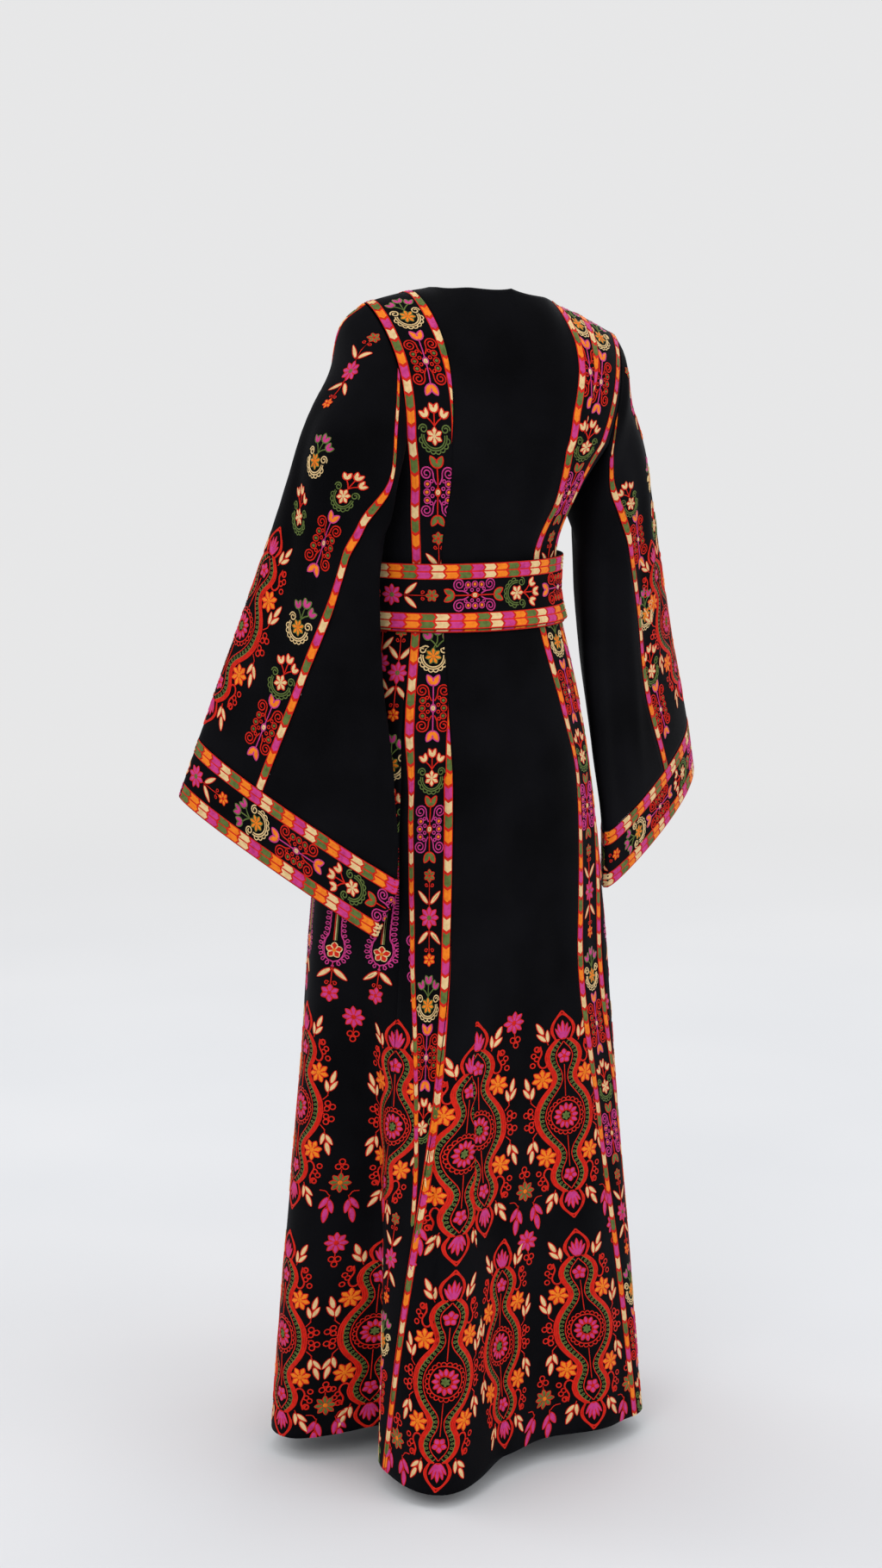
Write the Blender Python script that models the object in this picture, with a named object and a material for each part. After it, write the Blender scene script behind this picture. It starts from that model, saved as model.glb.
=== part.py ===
"""A full-length embroidered thobe, worn: fitted at the waist under a wrapped belt, with
princess bands over the shoulders, a fluted skirt and wide trumpet sleeves.

Frame: metres, +Z up. The origin lies midway between the two neck points, where the shoulders
carry the garment. The front faces -Y and the wearer's left is +X. Each sewn piece is a wall
of cloth, and neighbouring pieces stand a seam gap apart.
"""
import math

import bmesh
import bpy
import numpy as np

# ---------------------------------------------------------------- driving dimensions (metres)
CLOTH = 0.0016            # thickness of the cloth with its embroidery
SEAM_GAP = 0.0003         # between two pieces that are sewn together
SLEEVE_SEAM = 0.0007      # along a sleeve, where the walls bend more
SHOULDER_GAP = 0.0030     # radians by which each side stops short of the shoulder seam
HEAD_OUT = 0.0008         # each sleeve's head stands this far outside the armhole
HEAD_GAP = 0.0025         # gap at the head of each sleeve, as a share of its length
CUFF_GAP = 0.0008         # gap above each cuff, as a share of the sleeve's length
HEM_Z = -1.370            # hem, below the neck points
HEM_RISE = 0.012          # how much the hem lifts where the skirt bows inwards
HEM_LIFT_TOP = -1.000     # the rows above this stay level
DEEPEST_FOLD = 0.080
YOKE_Z = -0.160           # above this level the body closes over the shoulders
UNDERARM_Z = -0.222       # lowest point of the armhole
ARMHOLE_SQUARE = 0.7      # below 1 the armhole's bottom is flatter than a half wave
SIDE_TOP_Z = -0.262       # the side panels' rows lie level up to here
BAND_WIDTH = 0.063        # each princess band
NECK_HALF = 0.075         # half the neck opening at the shoulder seam
NECK_X = 0.103            # inner edge of the bands at the shoulder seam
SHOULDER_X = 0.158        # outer end of the shoulder seam
NECK_RIDGE_Z = 0.042      # where the body would close over the middle of the neck
NECK_BACK, NECK_FRONT = 58.0, 34.0   # degrees up the yoke to the lowest point of the neckline
YOKE_ROUND_BACK, YOKE_ROUND_FRONT = 2.2, 1.75   # squareness of the yoke's profile
SHOULDER_RIDGE_X = (0.0, 0.045, NECK_HALF, NECK_X, SHOULDER_X, 0.180)
SHOULDER_RIDGE_Z = (NECK_RIDGE_Z, 0.026, 0.006, -0.0025, -0.023, -0.035)
CUFF_DEPTH = 0.076        # embroidered strip round each sleeve's opening
BELT_TOP = -0.301
BELT_HEIGHT = 0.077
BELT_CLEAR = 0.0016       # belt outside the waist of the dress
BELT_PITCH = 0.0034       # how much each turn of the belt lies outside the one before
BELT_SLIP = 0.005         # the under layer of the belt shows this far below the upper one
BELT_START = 60.0         # bearing of the belt's under end, degrees from the front to the left
BELT_SETTLE = 0.25        # turns before the upper end at which the belt lies level again
BELT_LEAN = 0.3           # how far the belt follows the slope of the cloth under it

# The figure stands with its hips out to the left and its right shoulder dropped.
SWAY = 0.043              # how far the waist and skirt stand to the left of the neck
SWAY_TOP, SWAY_BOTTOM = -0.03, -0.30
TILT = 0.128              # rise of the shoulder line per metre towards the left
TILT_TOP, TILT_BOTTOM = -0.08, -0.25

# The body's level sections, from the yoke to the hem. "edge" is the bearing of the back
# panel's left edge, in degrees from straight back towards the wearer's left.
BODY_COLUMNS = ("z", "half_width", "back", "front", "square", "edge", "panel")
BODY_SECTIONS = (
    (-0.160, 0.165, 0.118, 0.120, 2.40, 32.5, 0.168),
    (-0.222, 0.141, 0.115, 0.122, 2.30, 28.5, 0.148),
    (-0.300, 0.121, 0.101, 0.104, 2.15, 30.5, 0.120),
    (-0.340, 0.119, 0.101, 0.102, 2.10, 30.0, 0.119),
    (-0.380, 0.127, 0.110, 0.109, 2.10, 28.5, 0.126),
    (-0.487, 0.153, 0.126, 0.122, 2.05, 24.5, 0.158),
    (-0.570, 0.167, 0.135, 0.130, 2.00, 22.5, 0.182),
    (-0.750, 0.184, 0.148, 0.146, 2.00, 23.5, 0.184),
    (-0.990, 0.198, 0.165, 0.165, 2.00, 30.5, 0.264),
    (-1.180, 0.212, 0.178, 0.180, 2.00, 38.0, 0.355),
    (-1.370, 0.225, 0.190, 0.190, 2.00, 43.0, 0.438),
)

# The gathered back panel lies over the inner edge of the left back band about the waist, so
# less than the whole width of that band shows there.
TUCK_COLUMNS = ("z", "shown")
TUCKED_BAND = (
    (-0.110, 0.063), (-0.160, 0.053), (-0.222, 0.046), (-0.300, 0.035), (-0.380, 0.039),
    (-0.470, 0.053), (-0.540, 0.060), (-0.620, 0.063),
)

# Flutes (out > 0) and hollows (out < 0) of the skirt. "bearing" is measured from the front
# through the wearer's left; each dies away over "before" and "after" degrees.
FOLD_COLUMNS = ("bearing", "before", "after", "out", "top", "growth")
FOLDS = (
    (90.0, 20.0, 16.0, 0.014, -0.70, 1.0),
    (119.0, 22.0, 17.0, -0.082, -0.72, 0.9),
    (155.0, 29.0, 23.0, 0.076, -0.60, 0.9),
    (200.0, 32.0, 34.0, -0.028, -0.70, 1.0),
    (246.0, 14.0, 20.0, 0.014, -0.55, 1.0),
    (282.0, 18.0, 18.0, -0.055, -0.62, 1.0),
    (309.0, 20.0, 20.0, 0.052, -0.70, 1.0),
    (345.0, 25.0, 22.0, -0.024, -0.65, 1.0),
    (20.0, 22.0, 20.0, 0.050, -0.55, 1.0),
    (58.0, 20.0, 17.0, -0.044, -0.68, 1.0),
)

# Sleeve sections from the armhole (f = 0) to the cuff's edge (f = 1): the upper fold line,
# the lower fold line, and how far the back and front cloth stand from the plane of the two.
SLEEVE_COLUMNS = ("f", "top_x", "top_y", "top_z", "low_x", "low_y", "low_z", "behind", "before")
LEFT_SLEEVE = (
    (0.00, 0.158, 0.000, -0.003, 0.186, 0.000, -0.210, 0.070, 0.062),
    (0.06, 0.186, -0.001, -0.028, 0.176, 0.034, -0.232, 0.066, 0.046),
    (0.13, 0.198, -0.005, -0.074, 0.162, 0.072, -0.254, 0.054, 0.032),
    (0.30, 0.229, -0.017, -0.166, 0.174, 0.088, -0.334, 0.036, 0.024),
    (0.50, 0.268, -0.032, -0.284, 0.176, 0.106, -0.434, 0.028, 0.026),
    (0.70, 0.310, -0.048, -0.405, 0.172, 0.134, -0.553, 0.024, 0.028),
    (0.88, 0.347, -0.062, -0.514, 0.173, 0.150, -0.661, 0.022, 0.026),
    (1.00, 0.371, -0.072, -0.586, 0.195, 0.136, -0.733, 0.016, 0.024),
)
RIGHT_SLEEVE = (
    (0.00, -0.158, 0.000, -0.043, -0.118, 0.000, -0.226, 0.070, 0.062),
    (0.06, -0.170, -0.006, -0.062, -0.116, 0.002, -0.246, 0.064, 0.056),
    (0.13, -0.178, -0.026, -0.105, -0.117, 0.004, -0.278, 0.056, 0.050),
    (0.30, -0.209, -0.070, -0.196, -0.121, 0.006, -0.352, 0.048, 0.040),
    (0.50, -0.250, -0.112, -0.304, -0.126, 0.006, -0.442, 0.042, 0.036),
    (0.70, -0.291, -0.147, -0.420, -0.138, 0.008, -0.552, 0.036, 0.034),
    (0.88, -0.330, -0.174, -0.530, -0.148, 0.016, -0.650, 0.032, 0.034),
    (1.00, -0.351, -0.190, -0.602, -0.151, 0.010, -0.722, 0.030, 0.036),
)
HEAD_BLEND = 0.20         # the sleeve leaves the armhole's outline over this part of its length
SLEEVE_TURN = 0.30        # the section turns from facing back to facing its own way over this
SLEEVE_DROP = 0.35        # how much fuller a sleeve's section is near its upper fold
REST_TOP = -0.172         # sleeves are held clear of the body below this height
REST_BLEND = 0.030        # height over which that begins, here and about the belt
REST_START = 0.0036       # a sleeve stands this far from the body at its armhole
REST_CLEAR = 0.0060       # and this far further down
REST_BELT = 0.0110        # more over the belt, for its two turns

# Edges of the embroidered top panel of a sleeve, measured along the cloth from the upper fold.
PANEL_COLUMNS = ("f", "behind", "before")
LEFT_PANEL = (
    (0.00, 0.115, 0.004),
    (0.06, 0.170, 0.010),
    (0.13, 0.205, 0.022),
    (0.20, 0.200, 0.034),
    (0.30, 0.180, 0.052),
    (0.50, 0.150, 0.086),
    (0.70, 0.134, 0.106),
    (1.00, 0.118, 0.116),
)
RIGHT_PANEL = (
    (0.00, 0.125, 0.004),
    (0.06, 0.165, 0.008),
    (0.13, 0.168, 0.016),
    (0.20, 0.166, 0.028),
    (0.30, 0.160, 0.046),
    (0.50, 0.154, 0.080),
    (0.70, 0.166, 0.104),
    (1.00, 0.155, 0.116),
)

# How finely the pieces are faceted
SKIRT_ROWS = 16
WAIST_LEVELS = (-0.262, -0.300, -0.340, -0.380, -0.430)
SHOULDER_ROWS = 6
PANEL_STEPS, BAND_STEPS, SIDE_STEPS = 12, 2, 10
SLEEVE_ROWS, SLEEVE_TOP_STEPS, SLEEVE_UNDER_STEPS = 9, 8, 14
CUFF_ROWS, CUFF_STEPS = 2, 24
BELT_STEPS, BELT_ROWS, BELT_TURNS = 54, 2, 1.90
RING_POINTS = 720
ARMHOLE_STEPS = 25

BLACK_CREPE = (0.012, 0.012, 0.016, 1.0)
EMBROIDERED = (0.22, 0.035, 0.03, 1.0)


# ---------------------------------------------------------------- tables and curves
def column(table, names, name):
    place = names.index(name)
    return np.array([row[place] for row in table], dtype=float)


def smooth(xs, ys, x):
    """Monotone cubic through a table: no overshoot between its rows."""
    xs, ys = np.asarray(xs, float), np.asarray(ys, float)
    if xs[0] > xs[-1]:
        xs, ys = xs[::-1], ys[::-1]
    step = np.diff(xs)
    slope = np.diff(ys) / step
    tangent = np.zeros_like(ys)
    tangent[0], tangent[-1] = slope[0], slope[-1]
    for i in range(1, len(xs) - 1):
        if slope[i - 1] * slope[i] > 0.0:
            tangent[i] = 2.0 / (1.0 / slope[i - 1] + 1.0 / slope[i])
    x = np.clip(x, xs[0], xs[-1])
    k = np.clip(np.searchsorted(xs, x, side="right") - 1, 0, len(step) - 1)
    t = (x - xs[k]) / step[k]
    return ((1 + 2 * t) * (1 - t) ** 2 * ys[k] + t * (1 - t) ** 2 * step[k] * tangent[k]
            + t * t * (3 - 2 * t) * ys[k + 1] + t * t * (t - 1) * step[k] * tangent[k + 1])


def body_value(name, z):
    return smooth(column(BODY_SECTIONS, BODY_COLUMNS, "z"),
                  column(BODY_SECTIONS, BODY_COLUMNS, name), z)


def ease(t):
    t = np.clip(t, 0.0, 1.0)
    return t * t * (3.0 - 2.0 * t)


def pose(points):
    """Stand the upright garment as it is worn: hips to the left, right shoulder down."""
    points = np.array(points, dtype=float)
    z = points[..., 2].copy()
    sway = SWAY * ease((SWAY_TOP - z) / (SWAY_TOP - SWAY_BOTTOM))
    tilt = TILT * (1.0 - ease((TILT_TOP - z) / (TILT_TOP - TILT_BOTTOM)))
    points[..., 2] += tilt * points[..., 0]
    points[..., 0] += sway
    return points


# ---------------------------------------------------------------- body below the yoke
def fold_depth(theta, z):
    """Sum of the flutes and hollows at bearings theta (radians) and height z."""
    total = np.zeros_like(theta)
    for bearing, before, after, out, top, growth in FOLDS:
        if z >= top:
            continue
        grown = ((top - z) / (top - HEM_Z)) ** growth
        turn = (np.degrees(theta) - bearing + 180.0) % 360.0 - 180.0
        reach = np.where(turn < 0.0, before, after)
        swell = 0.5 * (1.0 + np.cos(np.pi * np.clip(np.abs(turn) / reach, 0.0, 1.0)))
        total += out * grown * swell
    return total


def ring_radius(theta, z):
    """Distance of the cloth from the body's axis at bearing theta: an oval plus the folds."""
    square = body_value("square", z)
    half_width = body_value("half_width", z)
    back, front = body_value("back", z), body_value("front", z)
    depth = np.where(np.cos(theta) < 0.0, back, front)
    oval = (np.abs(np.sin(theta) / half_width) ** square
            + np.abs(np.cos(theta) / depth) ** square) ** (-1.0 / square)
    return oval + fold_depth(theta, z)


def ring_at(theta, z):
    """Points of the level section at height z, before the garment is posed."""
    radius = ring_radius(theta, z)
    lift = hem_lift(theta, z)
    return np.stack([radius * np.sin(theta), -radius * np.cos(theta), z + lift], axis=-1)


def hem_lift(theta, z):
    """The hem rises where the skirt bows inwards and dips at the flutes."""
    share = ease((HEM_LIFT_TOP - z) / (HEM_LIFT_TOP - HEM_Z))
    return -HEM_RISE * share * fold_depth(theta, HEM_Z) / DEEPEST_FOLD


class Ring:
    """A level section measured along the cloth, from the back panel's left edge round by
    the wearer's right."""

    def __init__(self, z):
        self.z = z
        edge = math.pi - math.radians(float(body_value("edge", z)))
        self.theta = edge + np.linspace(0.0, 2.0 * math.pi, RING_POINTS + 1)
        points = ring_at(self.theta, z)
        self.along = np.concatenate([[0.0], np.cumsum(
            np.linalg.norm(np.diff(points, axis=0), axis=1))])
        self.length = self.along[-1]
        panel = float(body_value("panel", z))
        tucked = float(smooth(column(TUCKED_BAND, TUCK_COLUMNS, "z"),
                              column(TUCKED_BAND, TUCK_COLUMNS, "shown"), z))
        side = 0.5 * (self.length - 2.0 * panel - 3.0 * BAND_WIDTH - tucked)
        widths = (panel, BAND_WIDTH, side, BAND_WIDTH, panel, BAND_WIDTH, side, tucked)
        self.seams = np.concatenate([[0.0], np.cumsum(widths)])

    def bearing(self, along):
        return np.interp(np.mod(along, self.length), self.along, self.theta)


PIECE_ORDER = ("back_panel", "back_band_right", "side_panel_right", "front_band_right",
               "front_panel", "front_band_left", "side_panel_left", "back_band_left")
RINGS = {}


def ring(z):
    key = round(z, 6)
    if key not in RINGS:
        RINGS[key] = Ring(z)
    return RINGS[key]


def across(name, z, shares):
    """Bearings at the given shares of a piece's width at height z, inside its seam gaps."""
    level = ring(z)
    place = PIECE_ORDER.index(name)
    start = level.seams[place] + 0.5 * SEAM_GAP
    end = level.seams[place + 1] - 0.5 * SEAM_GAP
    return level.bearing(start + (end - start) * shares)


def ring_normals(theta, z):
    """Outward normals of the unposed skirt and bodice at height z."""
    turn, rise = 0.004, 0.002
    around = ring_at(theta + turn, z) - ring_at(theta - turn, z)
    upper, lower = min(z + rise, YOKE_Z), max(z - rise, HEM_Z)
    up = ring_at(theta, upper) - ring_at(theta, lower)
    normal = np.cross(around, up)
    return normal / np.linalg.norm(normal, axis=-1, keepdims=True)


# ---------------------------------------------------------------- body above the yoke
def shoulder_ridge(x):
    """Height of the shoulder seam, or of the closed form across the neck opening."""
    return smooth(SHOULDER_RIDGE_X, SHOULDER_RIDGE_Z, np.abs(x))


def shoulder_point(x, angle, behind):
    """A point of the yoke: angle 0 is the yoke level and 90 degrees the shoulder seam."""
    square = body_value("square", YOKE_Z)
    half_width = body_value("half_width", YOKE_Z)
    depth = body_value("back" if behind else "front", YOKE_Z)
    roundness = YOKE_ROUND_BACK if behind else YOKE_ROUND_FRONT
    reach = depth * (1.0 - (np.abs(x) / half_width) ** square) ** (1.0 / square)
    level = np.clip(np.cos(angle), 0.0, 1.0) ** (2.0 / roundness)
    rise = np.clip(np.sin(angle), 0.0, 1.0) ** (2.0 / roundness)
    sign = 1.0 if behind else -1.0
    y = sign * reach * level
    z = YOKE_Z + (shoulder_ridge(x) - YOKE_Z) * rise
    return np.stack(np.broadcast_arrays(x, y, z), axis=-1)


def neck_angle(x, behind):
    """Angle at which a column of the yoke stops: the shoulder seam, or the neckline."""
    lowest = math.radians(NECK_BACK if behind else NECK_FRONT)
    inside = np.clip(1.0 - (np.abs(x) / NECK_HALF) ** 2, 0.0, 1.0)
    closed = 0.5 * math.pi - SHOULDER_GAP
    return closed - (closed - lowest) * np.sqrt(inside)


def yoke_columns(name, shares):
    """Start (at the yoke level) and end (at the shoulder) of a piece's columns, along X."""
    theta = across(name, YOKE_Z, shares)
    start = ring_at(theta, YOKE_Z)[:, 0]
    inner = NECK_X - 0.5 * SEAM_GAP
    if name.endswith("panel"):
        left = inner * np.sign(start[0])
        end = left + (-2.0 * left) * shares
    else:
        side = np.sign(start[0])
        near, far = NECK_X + 0.5 * SEAM_GAP, SHOULDER_X
        if abs(start[0]) > abs(start[-1]):
            near, far = far, near
        end = side * (near + (far - near) * shares)
    return start, end


def yoke_row(name, shares, q):
    """One row of points above the yoke level, q from 0 (yoke) to 1 (shoulder or neckline)."""
    behind = name.startswith("back")
    start, end = yoke_columns(name, shares)
    x = start + (end - start) * math.sin(0.5 * math.pi * q)
    angle = q * neck_angle(end, behind)
    return x, angle, behind


def yoke_normals(x, angle, behind):
    turn, shift = 0.01, 0.001
    lower, upper = np.clip(angle - turn, 0.0, None), np.clip(angle + turn, None, 0.5 * math.pi)
    up = shoulder_point(x, upper, behind) - shoulder_point(x, lower, behind)
    along = shoulder_point(x + shift, angle, behind) - shoulder_point(x - shift, angle, behind)
    normal = np.cross(up, along) * (1.0 if behind else -1.0)
    return normal / np.linalg.norm(normal, axis=-1, keepdims=True)


# ---------------------------------------------------------------- body pieces as grids
def skirt_levels():
    """Row heights from the hem up to the lowest row of the waist."""
    share = np.linspace(0.0, 1.0, SKIRT_ROWS)
    return HEM_Z + (WAIST_LEVELS[-1] - HEM_Z) * share


def body_levels():
    waist = [z for z in reversed(WAIST_LEVELS)][1:]
    return np.concatenate([skirt_levels(), waist])


def side_top(shares):
    """Height of a side panel's upper edge: the bottom of the armhole."""
    return YOKE_Z + (UNDERARM_Z - YOKE_Z) * np.sin(math.pi * shares) ** ARMHOLE_SQUARE


def level_rows(name, shares):
    rows, normals = [], []
    for z in body_levels():
        theta = across(name, z, shares)
        rows.append(ring_at(theta, z))
        normals.append(ring_normals(theta, z))
    return rows, normals


def side_panel(name, shares):
    rows, normals = level_rows(name, shares)
    for rise in ((UNDERARM_Z - SIDE_TOP_Z) / (YOKE_Z - SIDE_TOP_Z), 1.0):
        heights = SIDE_TOP_Z + (side_top(shares) - SIDE_TOP_Z) * rise
        points, turned = [], []
        for share, z in zip(shares, heights):
            theta = across(name, float(z), np.array([share]))
            points.append(ring_at(theta, float(z))[0])
            turned.append(ring_normals(theta, float(z))[0])
        rows.append(np.array(points))
        normals.append(np.array(turned))
    return np.array(rows), np.array(normals)


def yoked_piece(name, shares):
    """A panel or band from the hem up to the shoulder seam or the neckline."""
    rows, normals = level_rows(name, shares)
    for z in (UNDERARM_Z, YOKE_Z):
        theta = across(name, z, shares)
        rows.append(ring_at(theta, z))
        normals.append(ring_normals(theta, z))
    for step in range(1, SHOULDER_ROWS + 1):
        x, angle, behind = yoke_row(name, shares, step / SHOULDER_ROWS)
        rows.append(shoulder_point(x, angle, behind))
        normals.append(yoke_normals(x, angle, behind))
    return np.array(rows), np.array(normals)


# ---------------------------------------------------------------- sleeves
def unpose(points):
    """Where posed points would lie on the upright garment."""
    upright = np.array(points, dtype=float)
    for _ in range(5):
        upright += points - pose(upright)
    return upright


def rested(points, share):
    """Points of a sleeve, moved out wherever they would enter the body or its belt."""
    upright = unpose(points)
    z = upright[:, 2]
    theta = np.arctan2(upright[:, 0], -upright[:, 1])
    body = np.array([float(ring_radius(np.array([t]), max(min(h, YOKE_Z), HEM_Z))[0])
                     for t, h in zip(theta, z)])
    middle = BELT_TOP - 0.5 * BELT_HEIGHT
    over_belt = 1.0 - ease((np.abs(z - middle) - 0.5 * BELT_HEIGHT) / REST_BLEND)
    clear = REST_START + share * (REST_CLEAR + REST_BELT * over_belt)
    radius = np.hypot(upright[:, 0], upright[:, 1])
    below_armhole = ease((REST_TOP - z) / REST_BLEND)
    moved = radius + below_armhole * np.maximum(body + clear - radius, 0.0)
    upright[:, :2] *= (moved / radius)[:, None]
    return pose(upright)


def armhole(side):
    """The armhole's closed outline, posed: from the shoulder seam down the back edge to the
    underarm and up the front edge, as two runs of points."""
    bands = ("back_band_" + side, "front_band_" + side)
    runs = []
    for name in bands:
        outer = 1.0 if name in ("back_band_right", "front_band_left") else 0.0
        points = []
        for q in np.linspace(1.0, 0.0, ARMHOLE_STEPS):
            x, angle, behind = yoke_row(name, np.array([0.0, 1.0]), q)
            points.append(shoulder_point(x, angle, behind)[int(outer)])
        under = "side_panel_" + side
        toward_middle = np.linspace(0.0, 0.5, ARMHOLE_STEPS // 2 + 1)[1:]
        starts_behind = side == "right"
        if (name.startswith("back")) != starts_behind:
            toward_middle = 1.0 - toward_middle
        for share in toward_middle:
            z = float(side_top(share))
            points.append(ring_at(across(under, z, np.array([share])), z)[0])
        runs.append(pose(np.array(points)))
    return runs


def by_length(points, shares):
    """Points at the given shares of a polyline's length."""
    along = np.concatenate([[0.0], np.cumsum(np.linalg.norm(np.diff(points, axis=0), axis=1))])
    return np.stack([np.interp(shares * along[-1], along, points[:, i]) for i in range(3)], axis=-1)


class Sleeve:
    """A sleeve as rings of points; phi runs from the upper fold by the back to the lower."""

    def __init__(self, side):
        self.side = side
        self.table = LEFT_SLEEVE if side == "left" else RIGHT_SLEEVE
        self.phi = np.linspace(0.0, 2.0 * math.pi, RING_POINTS // 4 + 1)
        back, front = armhole(side)
        share = np.where(self.phi <= math.pi, self.phi, 2.0 * math.pi - self.phi) / math.pi
        behind = (self.phi <= math.pi)[:, None]
        self.root = np.where(behind, by_length(back, share), by_length(front, share))
        self.root[:, 0] += HEAD_OUT if side == "left" else -HEAD_OUT
        self.rings = {}

    def value(self, name, f):
        return smooth(column(self.table, SLEEVE_COLUMNS, "f"),
                      column(self.table, SLEEVE_COLUMNS, name), f)

    def fold(self, which, f):
        return np.array([float(self.value(which + axis, f)) for axis in ("_x", "_y", "_z")])

    def section(self, f):
        """The free outline at f: two fold lines with cloth swelling out before and behind."""
        top, low = self.fold("top", f), self.fold("low", f)
        middle, half = 0.5 * (top + low), 0.5 * (top - low)
        level = np.array([-half[1], half[0], 0.0])
        if level[1] < 0.0:
            level = -level
        turned = ease(f / SLEEVE_TURN)
        across_way = (np.array([0.0, 1.0, 0.0]) * (1.0 - turned)
                      + level / max(np.linalg.norm(level), 1e-9) * turned)
        across_way /= np.linalg.norm(across_way)
        swell = np.where(self.phi <= math.pi, self.value("behind", f), self.value("before", f))
        up = np.cos(self.phi)[:, None] * half
        drop = 1.0 + SLEEVE_DROP * np.cos(self.phi)
        out = (swell * np.sin(self.phi) * drop)[:, None] * across_way
        return middle + up + out

    def ring(self, f):
        key = round(f, 6)
        if key not in self.rings:
            share = (0.5 * (1.0 + np.cos(self.phi)))[:, None]
            carried = (self.root + share * (self.fold("top", f) - self.fold("top", 0.0))
                       + (1.0 - share) * (self.fold("low", f) - self.fold("low", 0.0)))
            free = ease(f / HEAD_BLEND)
            hung = carried * (1.0 - free) + self.section(f) * free
            points = rested(hung, ease(f / (0.5 * HEAD_BLEND)))
            along = np.concatenate([[0.0], np.cumsum(
                np.linalg.norm(np.diff(points, axis=0), axis=1))])
            self.rings[key] = (points, along)
        return self.rings[key]

    def at(self, f, along):
        points, lengths = self.ring(f)
        wrapped = np.mod(along, lengths[-1])
        return np.stack([np.interp(wrapped, lengths, points[:, i]) for i in range(3)], axis=-1)

    def normals(self, f, along):
        step, reach = 0.01, 0.003
        lower, upper = max(f - step, 0.0), min(f + step, 1.0)
        total = self.ring(f)[1][-1]
        down = (self.at(upper, along / total * self.ring(upper)[1][-1])
                - self.at(lower, along / total * self.ring(lower)[1][-1]))
        around = self.at(f, along + reach) - self.at(f, along - reach)
        normal = np.cross(around, down) * (1.0 if self.side == "left" else -1.0)
        return normal / np.linalg.norm(normal, axis=-1, keepdims=True)

    def panel_edges(self, f):
        """Distances from the upper fold to the top panel's back and front edges."""
        table = LEFT_PANEL if self.side == "left" else RIGHT_PANEL
        f_column = column(table, PANEL_COLUMNS, "f")
        return [float(smooth(f_column, column(table, PANEL_COLUMNS, name), f))
                for name in ("behind", "before")]


def cuff_start(sleeve):
    above = 0.1
    length = np.linalg.norm(sleeve.fold("top", 1.0) - sleeve.fold("top", 1.0 - above)) / above
    return 1.0 - CUFF_DEPTH / length


def sleeve_piece(sleeve, part, steps):
    """The top panel, or the plain cloth under it, from the armhole to the cuff."""
    rows, normals = [], []
    first, last = HEAD_GAP, cuff_start(sleeve) - CUFF_GAP
    for f in np.linspace(first, last, SLEEVE_ROWS + 1):
        behind, before = sleeve.panel_edges(f)
        total = sleeve.ring(f)[1][-1]
        half = 0.5 * SLEEVE_SEAM
        if part == "top":
            start, end = -before + half, behind - half
        else:
            start, end = behind + half, total - before - half
        along = np.linspace(start, end, steps + 1)
        rows.append(sleeve.at(f, along))
        along[0] -= half
        along[-1] += half
        normals.append(sleeve.normals(f, along))
    return np.array(rows), np.array(normals)


def cuff_piece(sleeve):
    rows, normals = [], []
    for f in np.linspace(cuff_start(sleeve) + CUFF_GAP, 1.0, CUFF_ROWS + 1):
        total = sleeve.ring(f)[1][-1]
        along = np.linspace(0.0, total, CUFF_STEPS, endpoint=False)
        rows.append(sleeve.at(f, along))
        normals.append(sleeve.normals(f, along))
    return np.array(rows), np.array(normals)


# ---------------------------------------------------------------- belt
def belt_piece():
    """One long strip wound round the waist; its under end lies inside its upper end."""
    start = math.radians(BELT_START)
    turns = np.linspace(0.0, BELT_TURNS, int(BELT_STEPS * BELT_TURNS) + 1)
    rows, normals = [], []
    for row in range(BELT_ROWS + 1):
        points, turned = [], []
        for turn in turns:
            theta = np.array([start + 2.0 * math.pi * turn])
            slip = BELT_SLIP * (1.0 - ease(turn / (BELT_TURNS - BELT_SETTLE)))
            z = BELT_TOP - BELT_HEIGHT * (1.0 - row / BELT_ROWS)
            normal = ring_normals(theta, z)[0]
            normal[2] *= BELT_LEAN
            normal /= np.linalg.norm(normal)
            stand = BELT_CLEAR + CLOTH + BELT_PITCH * turn
            point = ring_at(theta, z)[0] + stand * normal
            point[2] -= slip
            points.append(point)
            turned.append(normal)
        rows.append(points)
        normals.append(turned)
    return np.array(rows), np.array(normals)


# ---------------------------------------------------------------- solids
def wall(name, outer, normals, material, closed=False, thickness=CLOTH):
    """A closed solid between a grid of points and the same grid moved in by the thickness."""
    inner = outer - thickness * normals
    rows, columns = outer.shape[:2]
    mesh_maker = bmesh.new()
    grids = []
    for grid in (outer, inner):
        grids.append([[mesh_maker.verts.new(grid[r, c]) for c in range(columns)]
                      for r in range(rows)])
    face, back = grids
    spans = columns if closed else columns - 1

    def quad(a, b, c, d):
        mesh_maker.faces.new((a, b, c, d))

    for c in range(spans):
        n = (c + 1) % columns
        for r in range(rows - 1):
            quad(face[r][c], face[r][n], face[r + 1][n], face[r + 1][c])
            quad(back[r][n], back[r][c], back[r + 1][c], back[r + 1][n])
        quad(face[0][n], face[0][c], back[0][c], back[0][n])
        quad(face[-1][c], face[-1][n], back[-1][n], back[-1][c])
    if not closed:
        for r in range(rows - 1):
            quad(face[r][0], face[r + 1][0], back[r + 1][0], back[r][0])
            quad(face[r + 1][-1], face[r][-1], back[r][-1], back[r + 1][-1])
    bmesh.ops.triangulate(mesh_maker, faces=mesh_maker.faces[:])
    if mesh_maker.calc_volume(signed=True) < 0.0:
        bmesh.ops.reverse_faces(mesh_maker, faces=mesh_maker.faces[:])
    mesh = bpy.data.meshes.new(name)
    mesh_maker.to_mesh(mesh)
    mesh_maker.free()
    mesh.shade_smooth()
    mesh.set_sharp_from_angle(angle=math.radians(50.0))
    mesh.materials.append(material)
    piece = bpy.data.objects.new(name, mesh)
    bpy.context.scene.collection.objects.link(piece)
    return piece


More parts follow.
